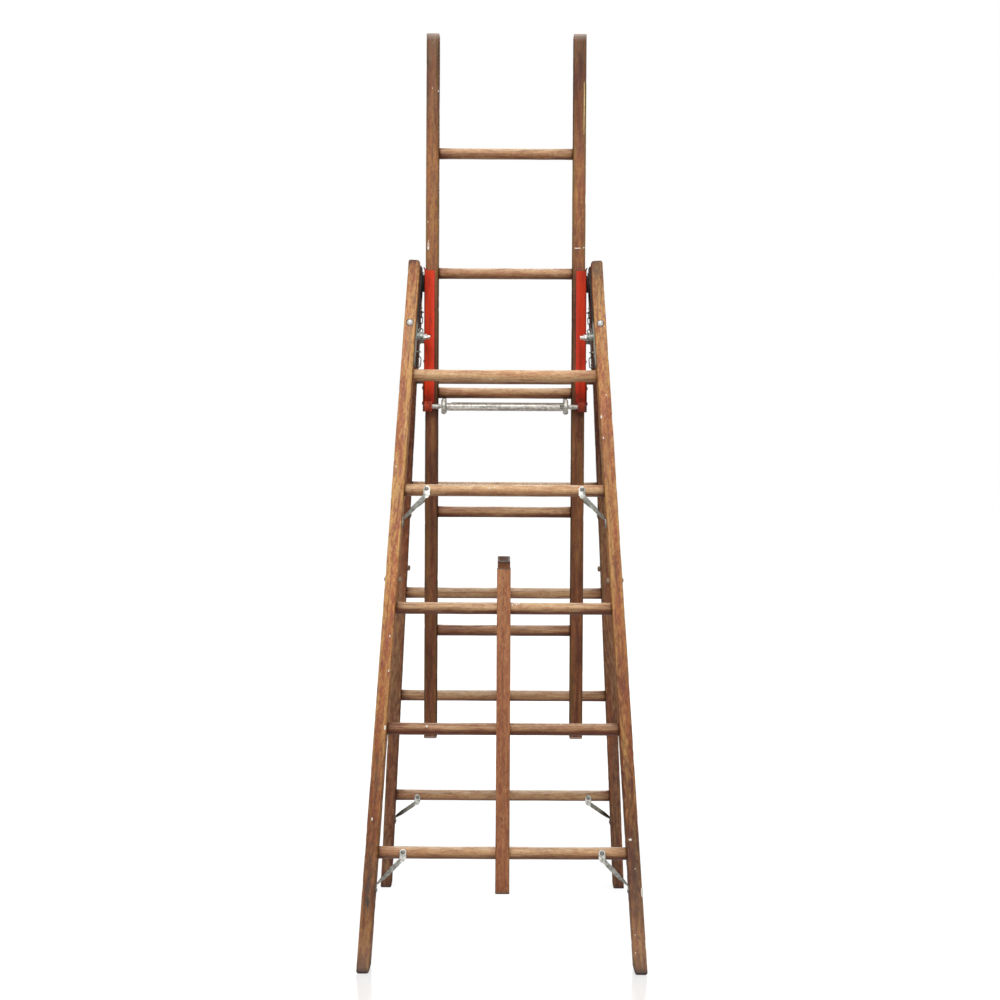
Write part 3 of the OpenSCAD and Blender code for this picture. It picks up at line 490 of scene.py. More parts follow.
# colour layers of the wood in their order: the look's key, the figure's output, the levels where the
# layer starts and is full, and whether it shows on clean wood alone
woodLayers = (
    ("stain", "Cloud", 0.46, 0.66, False), ("tan", "Cloud", 0.48, 0.32, False),
    ("mottle", "Mottle", 0.5, 0.66, False), ("sandy", "Mottle", 0.48, 0.34, True),
    ("streak", "Streak", 0.55, 0.7, False), ("speck", "Speck", 0.54, 0.66, False),
    ("spark", "Speck", 0.44, 0.32, True))
# masks have a grain size and a softness, shares say how much of each goes in
woodWear = dict(
    rubAndHighlight=(0.004, 0.6), edge=(0.004, 0.3), dirt=(0.007, 0.7), dirtLeast=0.1, dirtShares=(0.35, 0.65),
    soot=(0.45, 1.0), dust=(0.6, 1.2), endShare=0.85, rough=(-0.07, 0.08), roughDirt=0.12,
    mattGloss=0.02, bump=(0.5, 0.0006))


# aged timber: early and late wood, stains, dirt and painted shade by the tone attribute, rubbed edges, and
# rubbed tops, which on the rungs are partly a painted highlight. A layer's amount is the smooth step of a
# figure value times the look's share, and each layer blends over the last
def makeWood(name, look):
    material, tree, surface = newMaterial(name)
    wear = woodWear
    place = attribute(tree, "grain", "Vector")
    tone = attribute(tree, "tone")
    drawn = vectorCalc(tree, "MULTIPLY", place, (1, 1, look["draw"]))
    figure = useGroup(tree, woodFigure, {"Vector": place, "Ring Gap": look["ringGap"], "Warp": look["warp"],
                                         "Lean": look["lean"], "Knots": look["knots"]})
    color = blend(tree, times(tree, figure["Rings"], look["ringAmount"]), look["early"], look["late"])
    clean = calc(tree, "SUBTRACT", 1.0, times(tree, tone, look["dulled"]), clamp=True)
    for key, source, low, high, cleanOnly in woodLayers:
        layerColor, share = look[key]
        amount = times(tree, smooth(tree, figure[source], low, high), share)
        if cleanOnly:
            amount = times(tree, amount, clean)
        color = blend(tree, amount, color, layerColor)
    fibreTone = smooth(tree, figure["Fibre"], 0.25, 0.75, 1 - look["fibre"], 1 + look["fibre"])
    fibreColor = add(tree, "CombineColor", {0: fibreTone, 1: fibreTone, 2: fibreTone}).outputs[0]
    color = blend(tree, 1.0, color, fibreColor, "MULTIPLY")
    for key, source in (("rubAndHighlight", "pale"), ("edge", "edge")):
        wornColor, amount, mix = look[key]
        mask = broken(tree, drawn, times(tree, attribute(tree, source), amount), wear[key])
        color = blend(tree, times(tree, mask, mix), color, wornColor)
    # the tone holds dirt and painted shade, so this dark layer is both
    dirt = broken(tree, drawn, calc(tree, "ADD", tone, wear["dirtLeast"]), wear["dirt"])
    brokenShare, plainShare = wear["dirtShares"]
    dirt = calc(tree, "ADD", times(tree, dirt, brokenShare), times(tree, tone, plainShare), clamp=True)
    color = blend(tree, dirt, color, look["dirt"], "MULTIPLY")
    soot = times(tree, attribute(tree, "soot"),
                 smooth(tree, figure["Mottle"], 0.62, 0.42, *wear["soot"]), clamp=True)
    color = blend(tree, soot, color, look["soot"])
    dust = times(tree, attribute(tree, "dust"), smooth(tree, figure["Fibre"], 0.3, 0.6, *wear["dust"]))
    color = blend(tree, dust, color, look["dust"])
    # end colour: end grain, and painted shade on the rails' feet
    color = blend(tree, times(tree, attribute(tree, "endGrainAndFootShade"), wear["endShare"]), color, look["endColor"])
    roughLow, roughHigh = (look["rough"] + change for change in wear["rough"])
    rough = smooth(tree, figure["Blotch"], 0.3, 0.7, roughLow, roughHigh)
    rough = calc(tree, "ADD", rough, times(tree, dirt, wear["roughDirt"]), clamp=True)
    gloss = smooth(tree, attribute(tree, "matt"), 0.0, 1.0, look["gloss"], wear["mattGloss"])
    feed(tree, surface, {"Base Color": color, "Roughness": rough, "Specular IOR Level": gloss,
                         "Normal": bumpNormal(tree, figure["Height"], *wear["bump"])})
    return material


# colour and share of each layer; the rubbed colour, which on the rungs is partly a painted highlight, and
# edge have the share of the mask and then of the colour
woodCommon = dict(dulled=0.7, soot="45352f", dust="8f8474", fibre=0.12, ringAmount=0.5, lean=0.02,
                  knots=0.006, rough=0.5, gloss=0.35, draw=0.3)
woodLooks = dict(
    baseRail=dict(
        woodCommon, early="c98f52", late="94542b", stain=("ad5f30", 0.75), tan=("d3a460", 0.65),
        mottle=("965040", 0.75), sandy=("d8a868", 0.6), streak=("6b3a22", 0.5), speck=("72463a", 0.75),
        spark=("e0b47c", 0.6), rubAndHighlight=("d0a070", 0.5, 0.35), edge=("dcaa6c", 0.55, 0.5), dirt="7f6a62",
        endColor="2a1c19", ringGap=0.0052, ringAmount=0.8, warp=0.034, lean=0.035, knots=0.016, rough=0.48),
    baseRung=dict(
        woodCommon, early="cfa474", late="a0693f", stain=("b07448", 0.65), tan=("dab587", 0.5),
        mottle=("a0603e", 0.5), sandy=("e0bb8c", 0.45), streak=("7a4428", 0.45), speck=("80503a", 0.5),
        spark=("ecd2ac", 0.45), rubAndHighlight=("eedcc0", 1.0, 0.6), edge=("dcae78", 0.3, 0.4), dirt="80573f",
        endColor="7a5638", ringGap=0.0042, warp=0.022, rough=0.44, gloss=0.4, draw=0.12),
    post=dict(
        woodCommon, early="ae7148", late="84492a", stain=("90502e", 0.7), tan=("b07f50", 0.45),
        mottle=("864a34", 0.6), sandy=("b9845a", 0.5), streak=("643824", 0.5), speck=("643c2e", 0.65),
        spark=("c69a6e", 0.5), rubAndHighlight=("c4946a", 0.3, 0.4), edge=("c98c58", 0.5, 0.55), dirt="86695a",
        endColor="3a2212", ringGap=0.0048, warp=0.02, fibre=0.1, gloss=0.3),
    flyRail=dict(
        woodCommon, early="a4683c", late="704026", stain=("884c2a", 0.7), tan=("9a743c", 0.75),
        mottle=("784534", 0.65), sandy=("b4864c", 0.6), streak=("5e3a2a", 0.45), speck=("58362a", 0.6),
        spark=("bc9058", 0.5), rubAndHighlight=("857558", 0.9, 0.6), edge=("7a5c2c", 0.85, 0.75), dirt="8a6e5c",
        endColor="a3938a", ringGap=0.005, warp=0.026, fibre=0.1, draw=0.1),
)
woodLooks["rearRail"] = dict(
    woodLooks["baseRail"], early="b88a62", tan=("d3a460", 0.3), mottle=("965040", 0.45),
    sandy=("d8a868", 0.3), speck=("72463a", 0.45), spark=("e0b47c", 0.3), dulled=0.9)
woods = {key: makeWood(key + "Wood", look) for key, look in woodLooks.items()}
print("wood materials made")


evenCloud = (90, 90, 90)
fineCloud = (260, 260, 260)
tubeLow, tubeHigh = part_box("lock_tube")
plainZinc = dict(spangle=0.004, dark="8c8a84", light="bcb9b2", stain="6d5c49", stainAmount=0.3, metal=0.85,
                 rough=0.34, cloud=evenCloud)
# near-black iron colours that stand for painted shade
shadedIronLook = dict(dark="120e0c", light="2a221d", stain="3a2115", stainAmount=0.35, metal=0.35, rough=0.5)
zincLooks = dict(
    dullZinc=dict(stainAmount=0.28),
    # the tube has a painted shade band along its upper side
    tubeZinc=dict(
        spangle=0.005, dark="85827c", light="cfcac2", stain="6e604f", stainAmount=0.22, rough=0.28,
        cloud=(7, 200, 200), shadeBandZ=(tubeLow[2] + tubeHigh[2]) / 2, shadeBand="8d887e"),
    pinZinc=dict(stainAmount=0.28, paintBeyond=0.19, paint="4e1f1a"),
    dustyZinc=dict(dark="7a6450", light="a59078", metal=0.3, rough=0.5),
    brightZinc=dict(
        spangle=0.005, dark="76746e", light="dcdad6", stain="5d554c", stainAmount=0.25, rough=0.3,
        cloud=fineCloud),
    spoolZinc=dict(
        dark="545852", light="a4a8a0", stain="40382e", stainAmount=0.35, metal=0.8, rough=0.38,
        cloud=fineCloud),
    boltZinc=dict(dark="6b645e", light="dfdbd6", stain="4a3a30", metal=0.8, cloud=fineCloud),
    chainIron=dict(dark="0e0c0b", light="38342f", stain="3a2115", metal=0.5, rough=0.45, cloud=fineCloud),
    screwZinc=dict(dark="55524c", light="8f8c85", stain="40352a", stainAmount=0.4, metal=0.8, rough=0.4),
    darkSteel=dict(dark="2c2723", light="57514a", stain="4a2e1c", stainAmount=0.4, metal=0.7, rough=0.42),
    # hinge irons: the near-black colour above a height is painted shade, and the iron's own grey shows below
    # it
    frontIronShadedAbove=dict(shadedIronLook, shadedAbove=1.545, unshaded="84867e"),
    rearIronShadedAbove=dict(shadedIronLook, shadedAbove=1.612, unshaded="b2b3ab"),
)
# painted shade: colours that darken each brace's twisted strip, more on the rear section
braceStripShades = dict(front="b8b8b4", rear="a09d96")
braceLevels = dict(lower=1, upper=4)
for word, strip in braceStripShades.items():
    for level, rungNumber in braceLevels.items():
        zincLooks[f"{word}{level.title()}BraceZinc"] = dict(
            spangle=0.005, dark="9b9a94", light="dddcd6", stain="5f574b", metal=0.8, cloud=(120, 120, 120),
            tabX=railIn(rungU(rungNumber)) - ladder["braceIn"], strip=strip)
zincWear = dict(shadeBand=(0.003, 0.007), spangleShare=0.2, cloudShare=0.8, stain=(0.006, 0.25), stainShare=0.5,
                strip=(0.004, 0.01), unshaded=(0.01, -0.01), paint=(-0.0005, 0.0005), roughCloud=0.22,
                bumpScale=(700, 700, 700), bump=(0.4, 0.0003))


# dull zinc or iron: a soft spangle of cells and a cloud of noise, summed by their shares, run from the
# dark to the light colour, with broken stains over it. Some looks have painted shade on the strip beyond a
# tab, a painted shade band above a height, near-black painted shade above a height with the iron's own
# colour below it, or paint beyond a width
def makeZinc(name, given):
    material, tree, surface = newMaterial(name)
    look, wear = dict(plainZinc, **given), zincWear
    place = objectPlace(tree)
    parts = splitVector(tree, place)
    wide = calc(tree, "ABSOLUTE", parts["X"])
    cell = vectorCalc(tree, "SCALE", place, scale=1 / look["spangle"])
    spangle = add(tree, "TexVoronoi", {"Vector": cell, "Scale": 1.0}).outputs["Color"]
    spangle = add(tree, "SeparateColor", {0: spangle}).outputs[0]
    cloud = noiseNode(tree, place, look["cloud"], 4.0, 0.6)
    mixValue = calc(tree, "ADD", times(tree, spangle, wear["spangleShare"]),
                    times(tree, cloud, wear["cloudShare"]))
    color = blend(tree, smooth(tree, mixValue, 0.3, 0.7), look["dark"], look["light"])
    stain = times(tree, broken(tree, place, look["stainAmount"], wear["stain"]), wear["stainShare"])
    color = blend(tree, stain, color, look["stain"])
    if "tabX" in look:      # painted shade: the strip is darker than its flat tab, which lies nearer the middle
        strip = stepNear(tree, wide, look["tabX"], wear["strip"])
        color = blend(tree, strip, color, look["strip"], "MULTIPLY")
    if "shadeBandZ" in look:     # painted shade band along the upper side
        shadeBand = times(tree, stepNear(tree, parts["Z"], look["shadeBandZ"], wear["shadeBand"]),
                     smooth(tree, cloud, 0.25, 0.6, 0.6, 1.0))
        color = blend(tree, shadeBand, color, look["shadeBand"], "MULTIPLY")
    # painted shade above the height; below it, the iron's own colour
    if "shadedAbove" in look:
        unshaded = stepNear(tree, parts["Z"], look["shadedAbove"], wear["unshaded"])
        color = blend(tree, unshaded, color, look["unshaded"])
    metal = calc(tree, "SUBTRACT", look["metal"], stain, clamp=True)
    if "paintBeyond" in look:
        painted = stepNear(tree, wide, look["paintBeyond"], wear["paint"])
        color = blend(tree, painted, color, look["paint"])
        metal = times(tree, metal, calc(tree, "SUBTRACT", 1.0, painted))
    rough = calc(tree, "ADD", look["rough"], times(tree, cloud, wear["roughCloud"]), clamp=True)
    height = noiseNode(tree, place, wear["bumpScale"], 3.0)
    feed(tree, surface, {"Base Color": color, "Metallic": metal, "Roughness": rough,
                         "Normal": bumpNormal(tree, height, *wear["bump"])})
    return material


redLook = dict(paint="de3c12", paintDark="b42c12", lipColor="e2402c", soilAndShade="57201c", under="4a3a30",
               lowZ=ladder["guideLow"], highZ=ladder["guideTop"], lipX=0.1801, bendX=0.2064,
               endWear=0.22, wear=0.12, rough=0.4)
orangeLook = dict(paint="d24e22", paintDark="96301a", lipColor="d24e22", soilAndShade="57261c", under="54443a",
                  lowZ=1.29, highZ=1.43, lipX=0.05, bendX=0.2085, endWear=0.15, wear=0.24, rough=0.45)
paintLooks = dict(
    redPaint=redLook,
    # painted shade: the right guide's paint is a darker copy of the red
    shadedRedPaint=dict(redLook, paint="cc3411", paintDark="a42a12", lipColor="d43c2a"),
    orangePaint=orangeLook,
    darkOrangePaint=dict(orangeLook, paint="a83c1c", paintDark="742416"),
)
paintWear = dict(cloudScale=(70, 70, 9), fresh=(0.012, 0.002), freshMix=0.75, low=(0.06, 0.0),
                 top=(-0.012, 0.0), lips=(0.0012, 0.0), bend=(-0.0035, 0.0005), chips=(0.006, 0.06),
                 lowSoil=0.6, bendShade=0.8, gloss=0.18, roughCloud=0.2, roughChip=0.25,
                 bumpScale=(260, 260, 120), chipDepth=1.2, bump=(0.5, 0.0003))


# orange-red paint on steel: fresher near the lips, soiled at the lower end, darker at the bend by painted
# shade, and chipped.
# The chips are a broken mask of amount wear + endWear * (the largest of the nearnesses to the lower end,
# the top, the lips and the bend)
def makePaint(name, look):
    material, tree, surface = newMaterial(name)
    wear = paintWear
    place = objectPlace(tree)
    parts = splitVector(tree, place)
    wide = calc(tree, "ABSOLUTE", parts["X"])
    cloud = noiseNode(tree, place, wear["cloudScale"], 4.0, 0.6)
    color = blend(tree, smooth(tree, cloud, 0.35, 0.68), look["paint"], look["paintDark"])
    fresh = stepNear(tree, wide, look["lipX"], wear["fresh"], wear["freshMix"])
    color = blend(tree, fresh, color, look["lipColor"])
    low = stepNear(tree, parts["Z"], look["lowZ"], wear["low"])
    top = stepNear(tree, parts["Z"], look["highZ"], wear["top"])
    lips = stepNear(tree, wide, look["lipX"], wear["lips"])
    bend = stepNear(tree, wide, look["bendX"], wear["bend"])
    ends = calc(tree, "MAXIMUM", calc(tree, "MAXIMUM", low, top), calc(tree, "MAXIMUM", lips, bend))
    worn = calc(tree, "MULTIPLY_ADD", ends, look["endWear"], look["wear"])
    chips = broken(tree, place, worn, wear["chips"])
    # soil at the lower end, and painted shade at the bend along the outer edges
    soilAndShade = calc(tree, "MAXIMUM", times(tree, low, wear["lowSoil"]), times(tree, bend, wear["bendShade"]))
    color = blend(tree, soilAndShade, color, look["soilAndShade"])
    color = blend(tree, chips, color, look["under"])
    rough = calc(tree, "MULTIPLY_ADD", chips, wear["roughChip"],
                 calc(tree, "MULTIPLY_ADD", cloud, wear["roughCloud"], look["rough"]))
    height = calc(tree, "SUBTRACT", noiseNode(tree, place, wear["bumpScale"]),
                  times(tree, chips, wear["chipDepth"]))
    feed(tree, surface, {"Base Color": color, "Roughness": rough, "Specular IOR Level": wear["gloss"],
                         "Normal": bumpNormal(tree, height, *wear["bump"])})
    return material


finishes = {name: makeZinc(name, look) for name, look in zincLooks.items()}
finishes.update({name: makePaint(name, look) for name, look in paintLooks.items()})
# the solids of each finish
finished = dict(
    redPaint="guide_left bracket_rivets", shadedRedPaint="guide_right", orangePaint="lock_bracket_left",
    darkOrangePaint="lock_bracket_right", tubeZinc="lock_tube", dullZinc="lock_hook_left lock_hook_right",
    pinZinc="lock_pin_left lock_pin_right", chainIron="limit_chains", darkSteel="pivot_pins",
    dustyZinc="front_side_bolts rear_side_bolts", brightZinc="front_head_bolts rear_head_bolts",
    boltZinc="front_stop_bolts rear_stop_bolts", spoolZinc="front_stop_spools rear_stop_spools",
    frontIronShadedAbove="front_hinge_left front_hinge_right front_hinge_screws",
    rearIronShadedAbove="rear_hinge_left rear_hinge_right rear_hinge_screws",
    screwZinc="front_brace_screws rear_brace_screws",
    **{f"{word}{level.title()}BraceZinc": f"{word}_{level}_brace_left {word}_{level}_brace_right"
       for word in braceStripShades for level in braceLevels},
)
for finishName, nodeNames in finished.items():
    for nodeName in nodeNames.split():
        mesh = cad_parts[nodeName].data
        mesh.materials.clear()
        mesh.materials.append(finishes[finishName])
print("metal and paint on", sum(len(nodeNames.split()) for nodeNames in finished.values()), "solids")


# a leaning section hangs from the hinge axis: Z runs up along it, and face is 1 in front, -1 behind
def sectionMatrix(face):
    return np.diag((1, face, 1, 1)) @ move(0, 0, ladder["pivotZ"]) @ turn(-lean, "X")


# a rail's own axes: X outwards, Y backwards, Z up along the rail from the hinge
def railMatrix(face, side):
    place = move(ladder["railInAtPivot"] + halfT, -ladder["planeGap"], 0)
    return np.diag((side, 1, 1, 1)) @ sectionMatrix(face) @ place @ turn(-math.radians(ladder["taper"]), "Y")


# end plane square to the timber at one height
def squareCut(z):
    return lambda x, y: z + 0 * x


# end plane level with the floor: the local z where ax x + ay y + az z + c, the world height, is zero
def floorCut(toWorld):
    ax, ay, az, c = toWorld[2]
    return lambda x, y: (-c - ax * x - ay * y) / az


plainWear = dict(step=0.0042, arris=0.0036, edgeReach=0.0022, hollow=0.0005, headBand=0.005, dust=0.0,
                 dustReach=0.1)
baseWear = dict(plainWear, footDark=0.009, headShare=0.6, knock=0.006, lowRound=0.0075, highRound=0.0036,
                patch=0.35, innerShade=0.12)
# tone and pale are given at heights above the floor, as (height, level). The tone holds dirt and painted
# shade: darker towards the floor, and on the rear rails darker high up
frontPale = [(0.0, 0.2), (0.8, 0.4), (1.4, 0.6), (1.7, 0.7)]
railLooks = dict(
    left=dict(
        wood="baseRail", wear=dict(baseWear, dust=0.3, dustReach=0.12),
        tone=[(0.0, 0.95), (0.03, 0.8), (0.05, 0.62), (0.12, 0.72), (0.27, 0.75), (0.45, 0.52), (0.75, 0.26),
              (1.0, 0.03), (1.3, 0.1), (1.45, 0.12), (1.6, 0.14), (1.67, 0.3), (1.7, 0.7)],
        pale=frontPale),
    right=dict(
        wood="baseRail", wear=dict(baseWear, dust=0.28, dustReach=0.35),
        tone=[(0.0, 0.9), (0.03, 0.7), (0.06, 0.42), (0.1, 0.55), (0.15, 0.86), (0.27, 0.91), (0.45, 0.68),
              (0.75, 0.48), (1.0, 0.38), (1.28, 0.27), (1.42, 0.14), (1.56, 0.2), (1.63, 0.5), (1.7, 0.9)],
        pale=frontPale),
    rear=dict(
        wood="rearRail", wear=dict(baseWear, lowRound=0.0042),
        tone=[(0.0, 0.95), (0.1, 0.84), (0.5, 0.72), (0.8, 0.62), (1.05, 0.72), (1.3, 0.95), (1.71, 1.1)],
        pale=[(0.0, 0.1), (1.7, 0.3)]),
)
# darker stains on the front section's faces: across, along, half width, half length, strength
railMarks = dict(
    left=[
        (0.006, 0.026, 0.004, 0.005, 0.5), (-0.006, 0.016, 0.003, 0.004, 0.45),
        (0.004, 0.002, 0.004, 0.009, 0.5), (0.002, -0.028, 0.003, 0.008, 0.6),
        (-0.004, -0.066, 0.004, 0.022, 0.35), (0.0, -0.145, 0.005, 0.016, 0.5),
        (0.003, -0.195, 0.0035, 0.02, 0.4), (0.001, -0.32, 0.006, 0.012, 0.45),
        (-0.004, -0.6, 0.005, 0.05, 0.35), (0.0, -1.27, 0.005, 0.06, 0.45),
        (0.0, -1.535, 0.006, 0.05, 1.0), (0.001, -1.5, 0.013, 0.11, 0.42)],
    right=[
        (0.0, 0.01, 0.02, 0.022, 0.55), (0.004, -0.045, 0.004, 0.02, 0.35),
        (-0.003, -0.19, 0.005, 0.02, 0.35), (0.002, -0.28, 0.004, 0.015, 0.4),
        (0.0, -0.75, 0.005, 0.05, 0.3), (0.0, -1.45, 0.012, 0.1, 0.4)],
)
railHeadRound = 0.009
rungWear = dict(step=0.0042, hollow=0.0005, tread=0.0006, dirtReach=0.02, endDirt=0.45, under=0.75)
rungTone = dict(front=[0.22, 0.58, 0.24, 0.04, 0.0], rear=[0.3, 0.42, 0.25, 0.25, 0.25])
# painted shade: how much each rung's underside is darkened, rungs 1 to 5
rungUnderShade = dict(front=[0.75, 0.85, 0.95, 0.65, 0.3], rear=[0.75] * 5)
rungFit = dict(shoulder=0.00005, end=0.0003, flyEnd=0.0002)     # clear of the rail's face, proud of it
postWear = dict(plainWear, step=0.0045, arris=0.0035, footDark=0.006, headShare=1.0, knock=0.005,
                lowRound=0.0022, highRound=0.0022, patch=0.25, innerShade=0.0)
postTone = dict(front=[(0.0, 0.6), (0.2, 0.38), (0.84, 0.3), (0.9, 0.15)], rear=[(0.0, 0.58), (0.9, 0.52)])


def buildSection(word, face, seed):
    body = word + "_section"
    hang = sectionMatrix(face)
    for side, sideWord in sides:
        toWorld = railMatrix(face, side)
        look = railLooks[sideWord if face > 0 else "rear"]
        piece = timber(
            f"{word}Rail{sideWord.title()}", toWorld, ladder["railT"] / 2, ladder["railD"] / 2,
            floorCut(toWorld), squareCut(ladder["railHead"]), look["wear"], seed + 3 * side,
            woods[look["wood"]], body, look["tone"], look["pale"],
            mirrored=side * face < 0, topRound=railHeadRound, inner=-1.0,
            marks=railMarks[sideWord] if face > 0 else ())
        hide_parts(f"{word}_rail_{sideWord}")
    for number in rungNumbers:
        u = rungU(number)
        place = hang @ move(0, -ladder["planeGap"], -u)
        inner = railIn(u) - rungFit["shoulder"]
        piece = rung(
            f"{word}Rung{number}", place, ladder["baseRungR"], ladder["tenonR"], inner,
            inner + 2 * halfT + rungFit["end"], taper, dict(rungWear, under=rungUnderShade[word][number - 1]),
            seed + 20 + number, woods["baseRung"], body, rungTone[word][number - 1])
        if face < 0:
            piece.data.flip_normals()
        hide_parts(f"{word}_rung_{number}")
    low, top = -rungU(1) - ladder["postOver"], -rungU(3) + ladder["postOver"]
    place = hang @ move(0, -ladder["planeGap"], 0)
    piece = timber(
        f"{word}Post", place, ladder["postW"] / 2, ladder["postD"] / 2, squareCut(low), squareCut(top),
        postWear, seed + 40, woods["post"], body, postTone[word], [(0, 0.3), (1, 0.3)],
        mirrored=face < 0)
    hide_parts(f"{word}_center_post")


buildSection("front", 1, 11)
buildSection("rear", -1, 71)
print("leaning sections built")

flyWear = dict(plainWear, edgeReach=0.0036, footDark=0.001, headBand=0.015, headShare=0.85, knock=0.005,
               lowRound=0.0025, highRound=0.0025, patch=0.4, innerShade=0.3)
flyTone = [(0.48, 0.9), (0.5, 0.72), (0.9, 0.65), (1.3, 0.78), (1.66, 0.7), (1.7, 0.22), (1.95, 0.2),
           (2.03, 0.6), (2.2, 0.95), (2.26, 0.8)]
flyPale = [(0.5, 0.1), (2.08, 0.15), (2.2, 0.8), (2.28, 1.0)]
# painted shade: how much each fly rung's underside is darkened
flyRungUnderShade = [0.7, 0.6, 0.5, 0.55, 0.4]
flyRungTone = [0.68, 0.46, 0.32, 0.3, 0.38]
flyEndDirt = [0.1, 0.45, 0.45, 0.45, 0.45]
for side, sideWord in sides:
    place = move(side * (ladder["flyHalf"] - ladder["flyRailT"] / 2), 0, 0)
    piece = timber(
        f"flyRail{sideWord.title()}", place, ladder["flyRailT"] / 2, ladder["flyRailD"] / 2,
        squareCut(ladder["flyLow"]), squareCut(ladder["flyTop"]), flyWear, 130 + 5 * side, woods["flyRail"],
        "fly_section", flyTone, flyPale, inner=-side)
    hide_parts(f"fly_rail_{sideWord}")
for number in rungNumbers:
    z = ladder["lockRungZ"] + (number - 3) * ladder["flyPitch"]
    wear = dict(rungWear, under=flyRungUnderShade[number - 1], endDirt=flyEndDirt[number - 1])
    piece = rung(
        f"flyRung{number}", move(0, 0, z), ladder["flyRungR"], ladder["tenonR"],
        ladder["flyHalf"] - ladder["flyRailT"], ladder["flyHalf"] + rungFit["flyEnd"], 0.0, wear,
        150 + number, woods["baseRung"], "fly_section", flyRungTone[number - 1])
    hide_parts(f"fly_rung_{number}")
print("sliding section built")


# plain matt paint: noise runs it from the clean to the dirty colour
def makeSplash(name, clean, dirty):
    material, tree, surface = newMaterial(name)
    dirt = noiseNode(tree, objectPlace(tree), (500, 500, 500), 3.0)
    color = blend(tree, smooth(tree, dirt, 0.4, 0.75), clean, dirty)
    feed(tree, surface, {"Base Color": color, "Roughness": smooth(tree, dirt, 0.3, 0.7, 0.45, 0.65)})
    return material


whitePaint = makeSplash("whitePaint", "f2ede4", "cfc0aa")
yellowPaint = makeSplash("yellowPaint", "e2cf8a", "b79c5c")
stainDark = makeSplash("stainDark", "4a2c1c", "6b452e")
scuffPaint = makeSplash("scuffPaint", "cdb5a2", "a07c66")
splashLook = dict(around=28, raggedScale=1.6, ragged=0.55, ringRagged=0.25)


# thin blob or ring on a face at -y. Its rings are the outline half * (1 + ragged * noise) times a share,
# lifted by height times a lift: the rim is sunk a little and the middle stands proud
def splash(name, toWorld, middle, half, height, seed, material, body, hole=0.0, flip=False):
    look = splashLook
    angle = np.linspace(0, 2 * math.pi, look["around"], endpoint=False)[None, :]
    share, lift = (1.0, 1.0, 0.93, 0.75, 0.5, 0.25, 0.08), (-0.6, 0.15, 0.7, 1.0, 1.0, 0.9, 0.9)
    if hole > 0:
        share, lift = (1.0, 1.0, 0.96, 0.92, hole + 0.05, hole, hole), (-0.6, 0.15, 0.8, 1.0, 1.0, 0.6, -0.6)
    share, lift = np.array(share)[:, None], np.array(lift)[:, None]
    rim = np.stack([np.cos(angle) * look["raggedScale"] + seed, np.sin(angle) * look["raggedScale"],
                    0 * angle + seed * 2], -1)
    reach = 1 + look["ragged"] * noiseAt(rim, seed) * (look["ringRagged"] if hole else 1)
    x = middle[0] + half[0] * share * reach * np.cos(angle)
    z = middle[2] + half[1] * share * reach * np.sin(angle)
    y = middle[1] - height * lift + 0 * x
    world = toWorldPlaces(np.stack([x, y, z], -1), toWorld)
    return tubeMesh(name, world, {}, material, body, flip)


frontFaceY = -ladder["railD"] / 2
splashes = [    # side, across, along the rail from the hinge, half width, half height
    (1, -0.0125, -0.37, 0.0022, 0.0042), (1, -0.0105, -0.423, 0.0016, 0.0026),
    (1, 0.0026, -0.314, 0.0013, 0.0022), (-1, -0.007, -0.919, 0.0015, 0.003),
    (-1, -0.0105, -1.003, 0.0016, 0.0028), (-1, -0.011, -1.14, 0.0026, 0.006),
    (1, -0.0069, -1.402, 0.0036, 0.003), (-1, 0.0037, -1.357, 0.0018, 0.0036),
    (-1, 0.008, -0.5, 0.0012, 0.0035), (1, -0.0085, -1.622, 0.0013, 0.0013),
    (1, -0.0105, -1.663, 0.0014, 0.0014), (1, 0.001, -1.47, 0.001, 0.0012),
]
for number, (side, across, along, halfW, halfH) in enumerate(splashes):
    splash(f"splash{number + 1}", railMatrix(1, side), (across, frontFaceY + 0.0004, along), (halfW, halfH),
           0.0006, number + 3, whitePaint, "front_section", flip=side < 0)
# one splash lies on the outer arris, so its face is turned half way round the corner
cornerPlace = railMatrix(1, 1) @ move(0.0138, frontFaceY + 0.001, -1.5245) @ turn(math.pi / 4, "Z")
splash("edgeSplash", cornerPlace, (0, 0, 0), (0.003, 0.0105), 0.0012, 23, whitePaint, "front_section")
flyFaceY = -ladder["flyRailD"] / 2
flySplashes = [    # across, height above the floor, half width, half height
    (0.183, 1.739, 0.008, 0.0013), (0.199, 1.74, 0.0016, 0.0018), (-0.1975, 1.8035, 0.0012, 0.0016),
    (-0.1874, 2.142, 0.001, 0.0014), (-0.1725, 2.134, 0.0012, 0.002), (-0.1965, 1.738, 0.0024, 0.004),
]
for number, (x, z, halfW, halfH) in enumerate(flySplashes):
    splash(f"flySplash{number + 1}", np.eye(4), (x, flyFaceY + 0.0004, z), (halfW, halfH), 0.0006,
           number + 31, whitePaint, "fly_section")
splash("flyScuff", np.eye(4), (-0.1962, flyFaceY + 0.0003, 1.744), (0.0028, 0.013), 0.0004, 47,
       scuffPaint, "fly_section")
splash("flyStreak", np.eye(4), (0.1976, flyFaceY + 0.0004, 2.096), (0.0011, 0.068), 0.0006, 43,
       yellowPaint, "fly_section")
for side, sideWord in sides:
    splash(f"boltStain{sideWord.title()}", railMatrix(1, side),
           (0, frontFaceY + 0.0003, -ladder["headBoltS"]), (0.0098, 0.0098), 0.0005, 50 + side,
           stainDark, "front_section", hole=0.78, flip=side < 0)
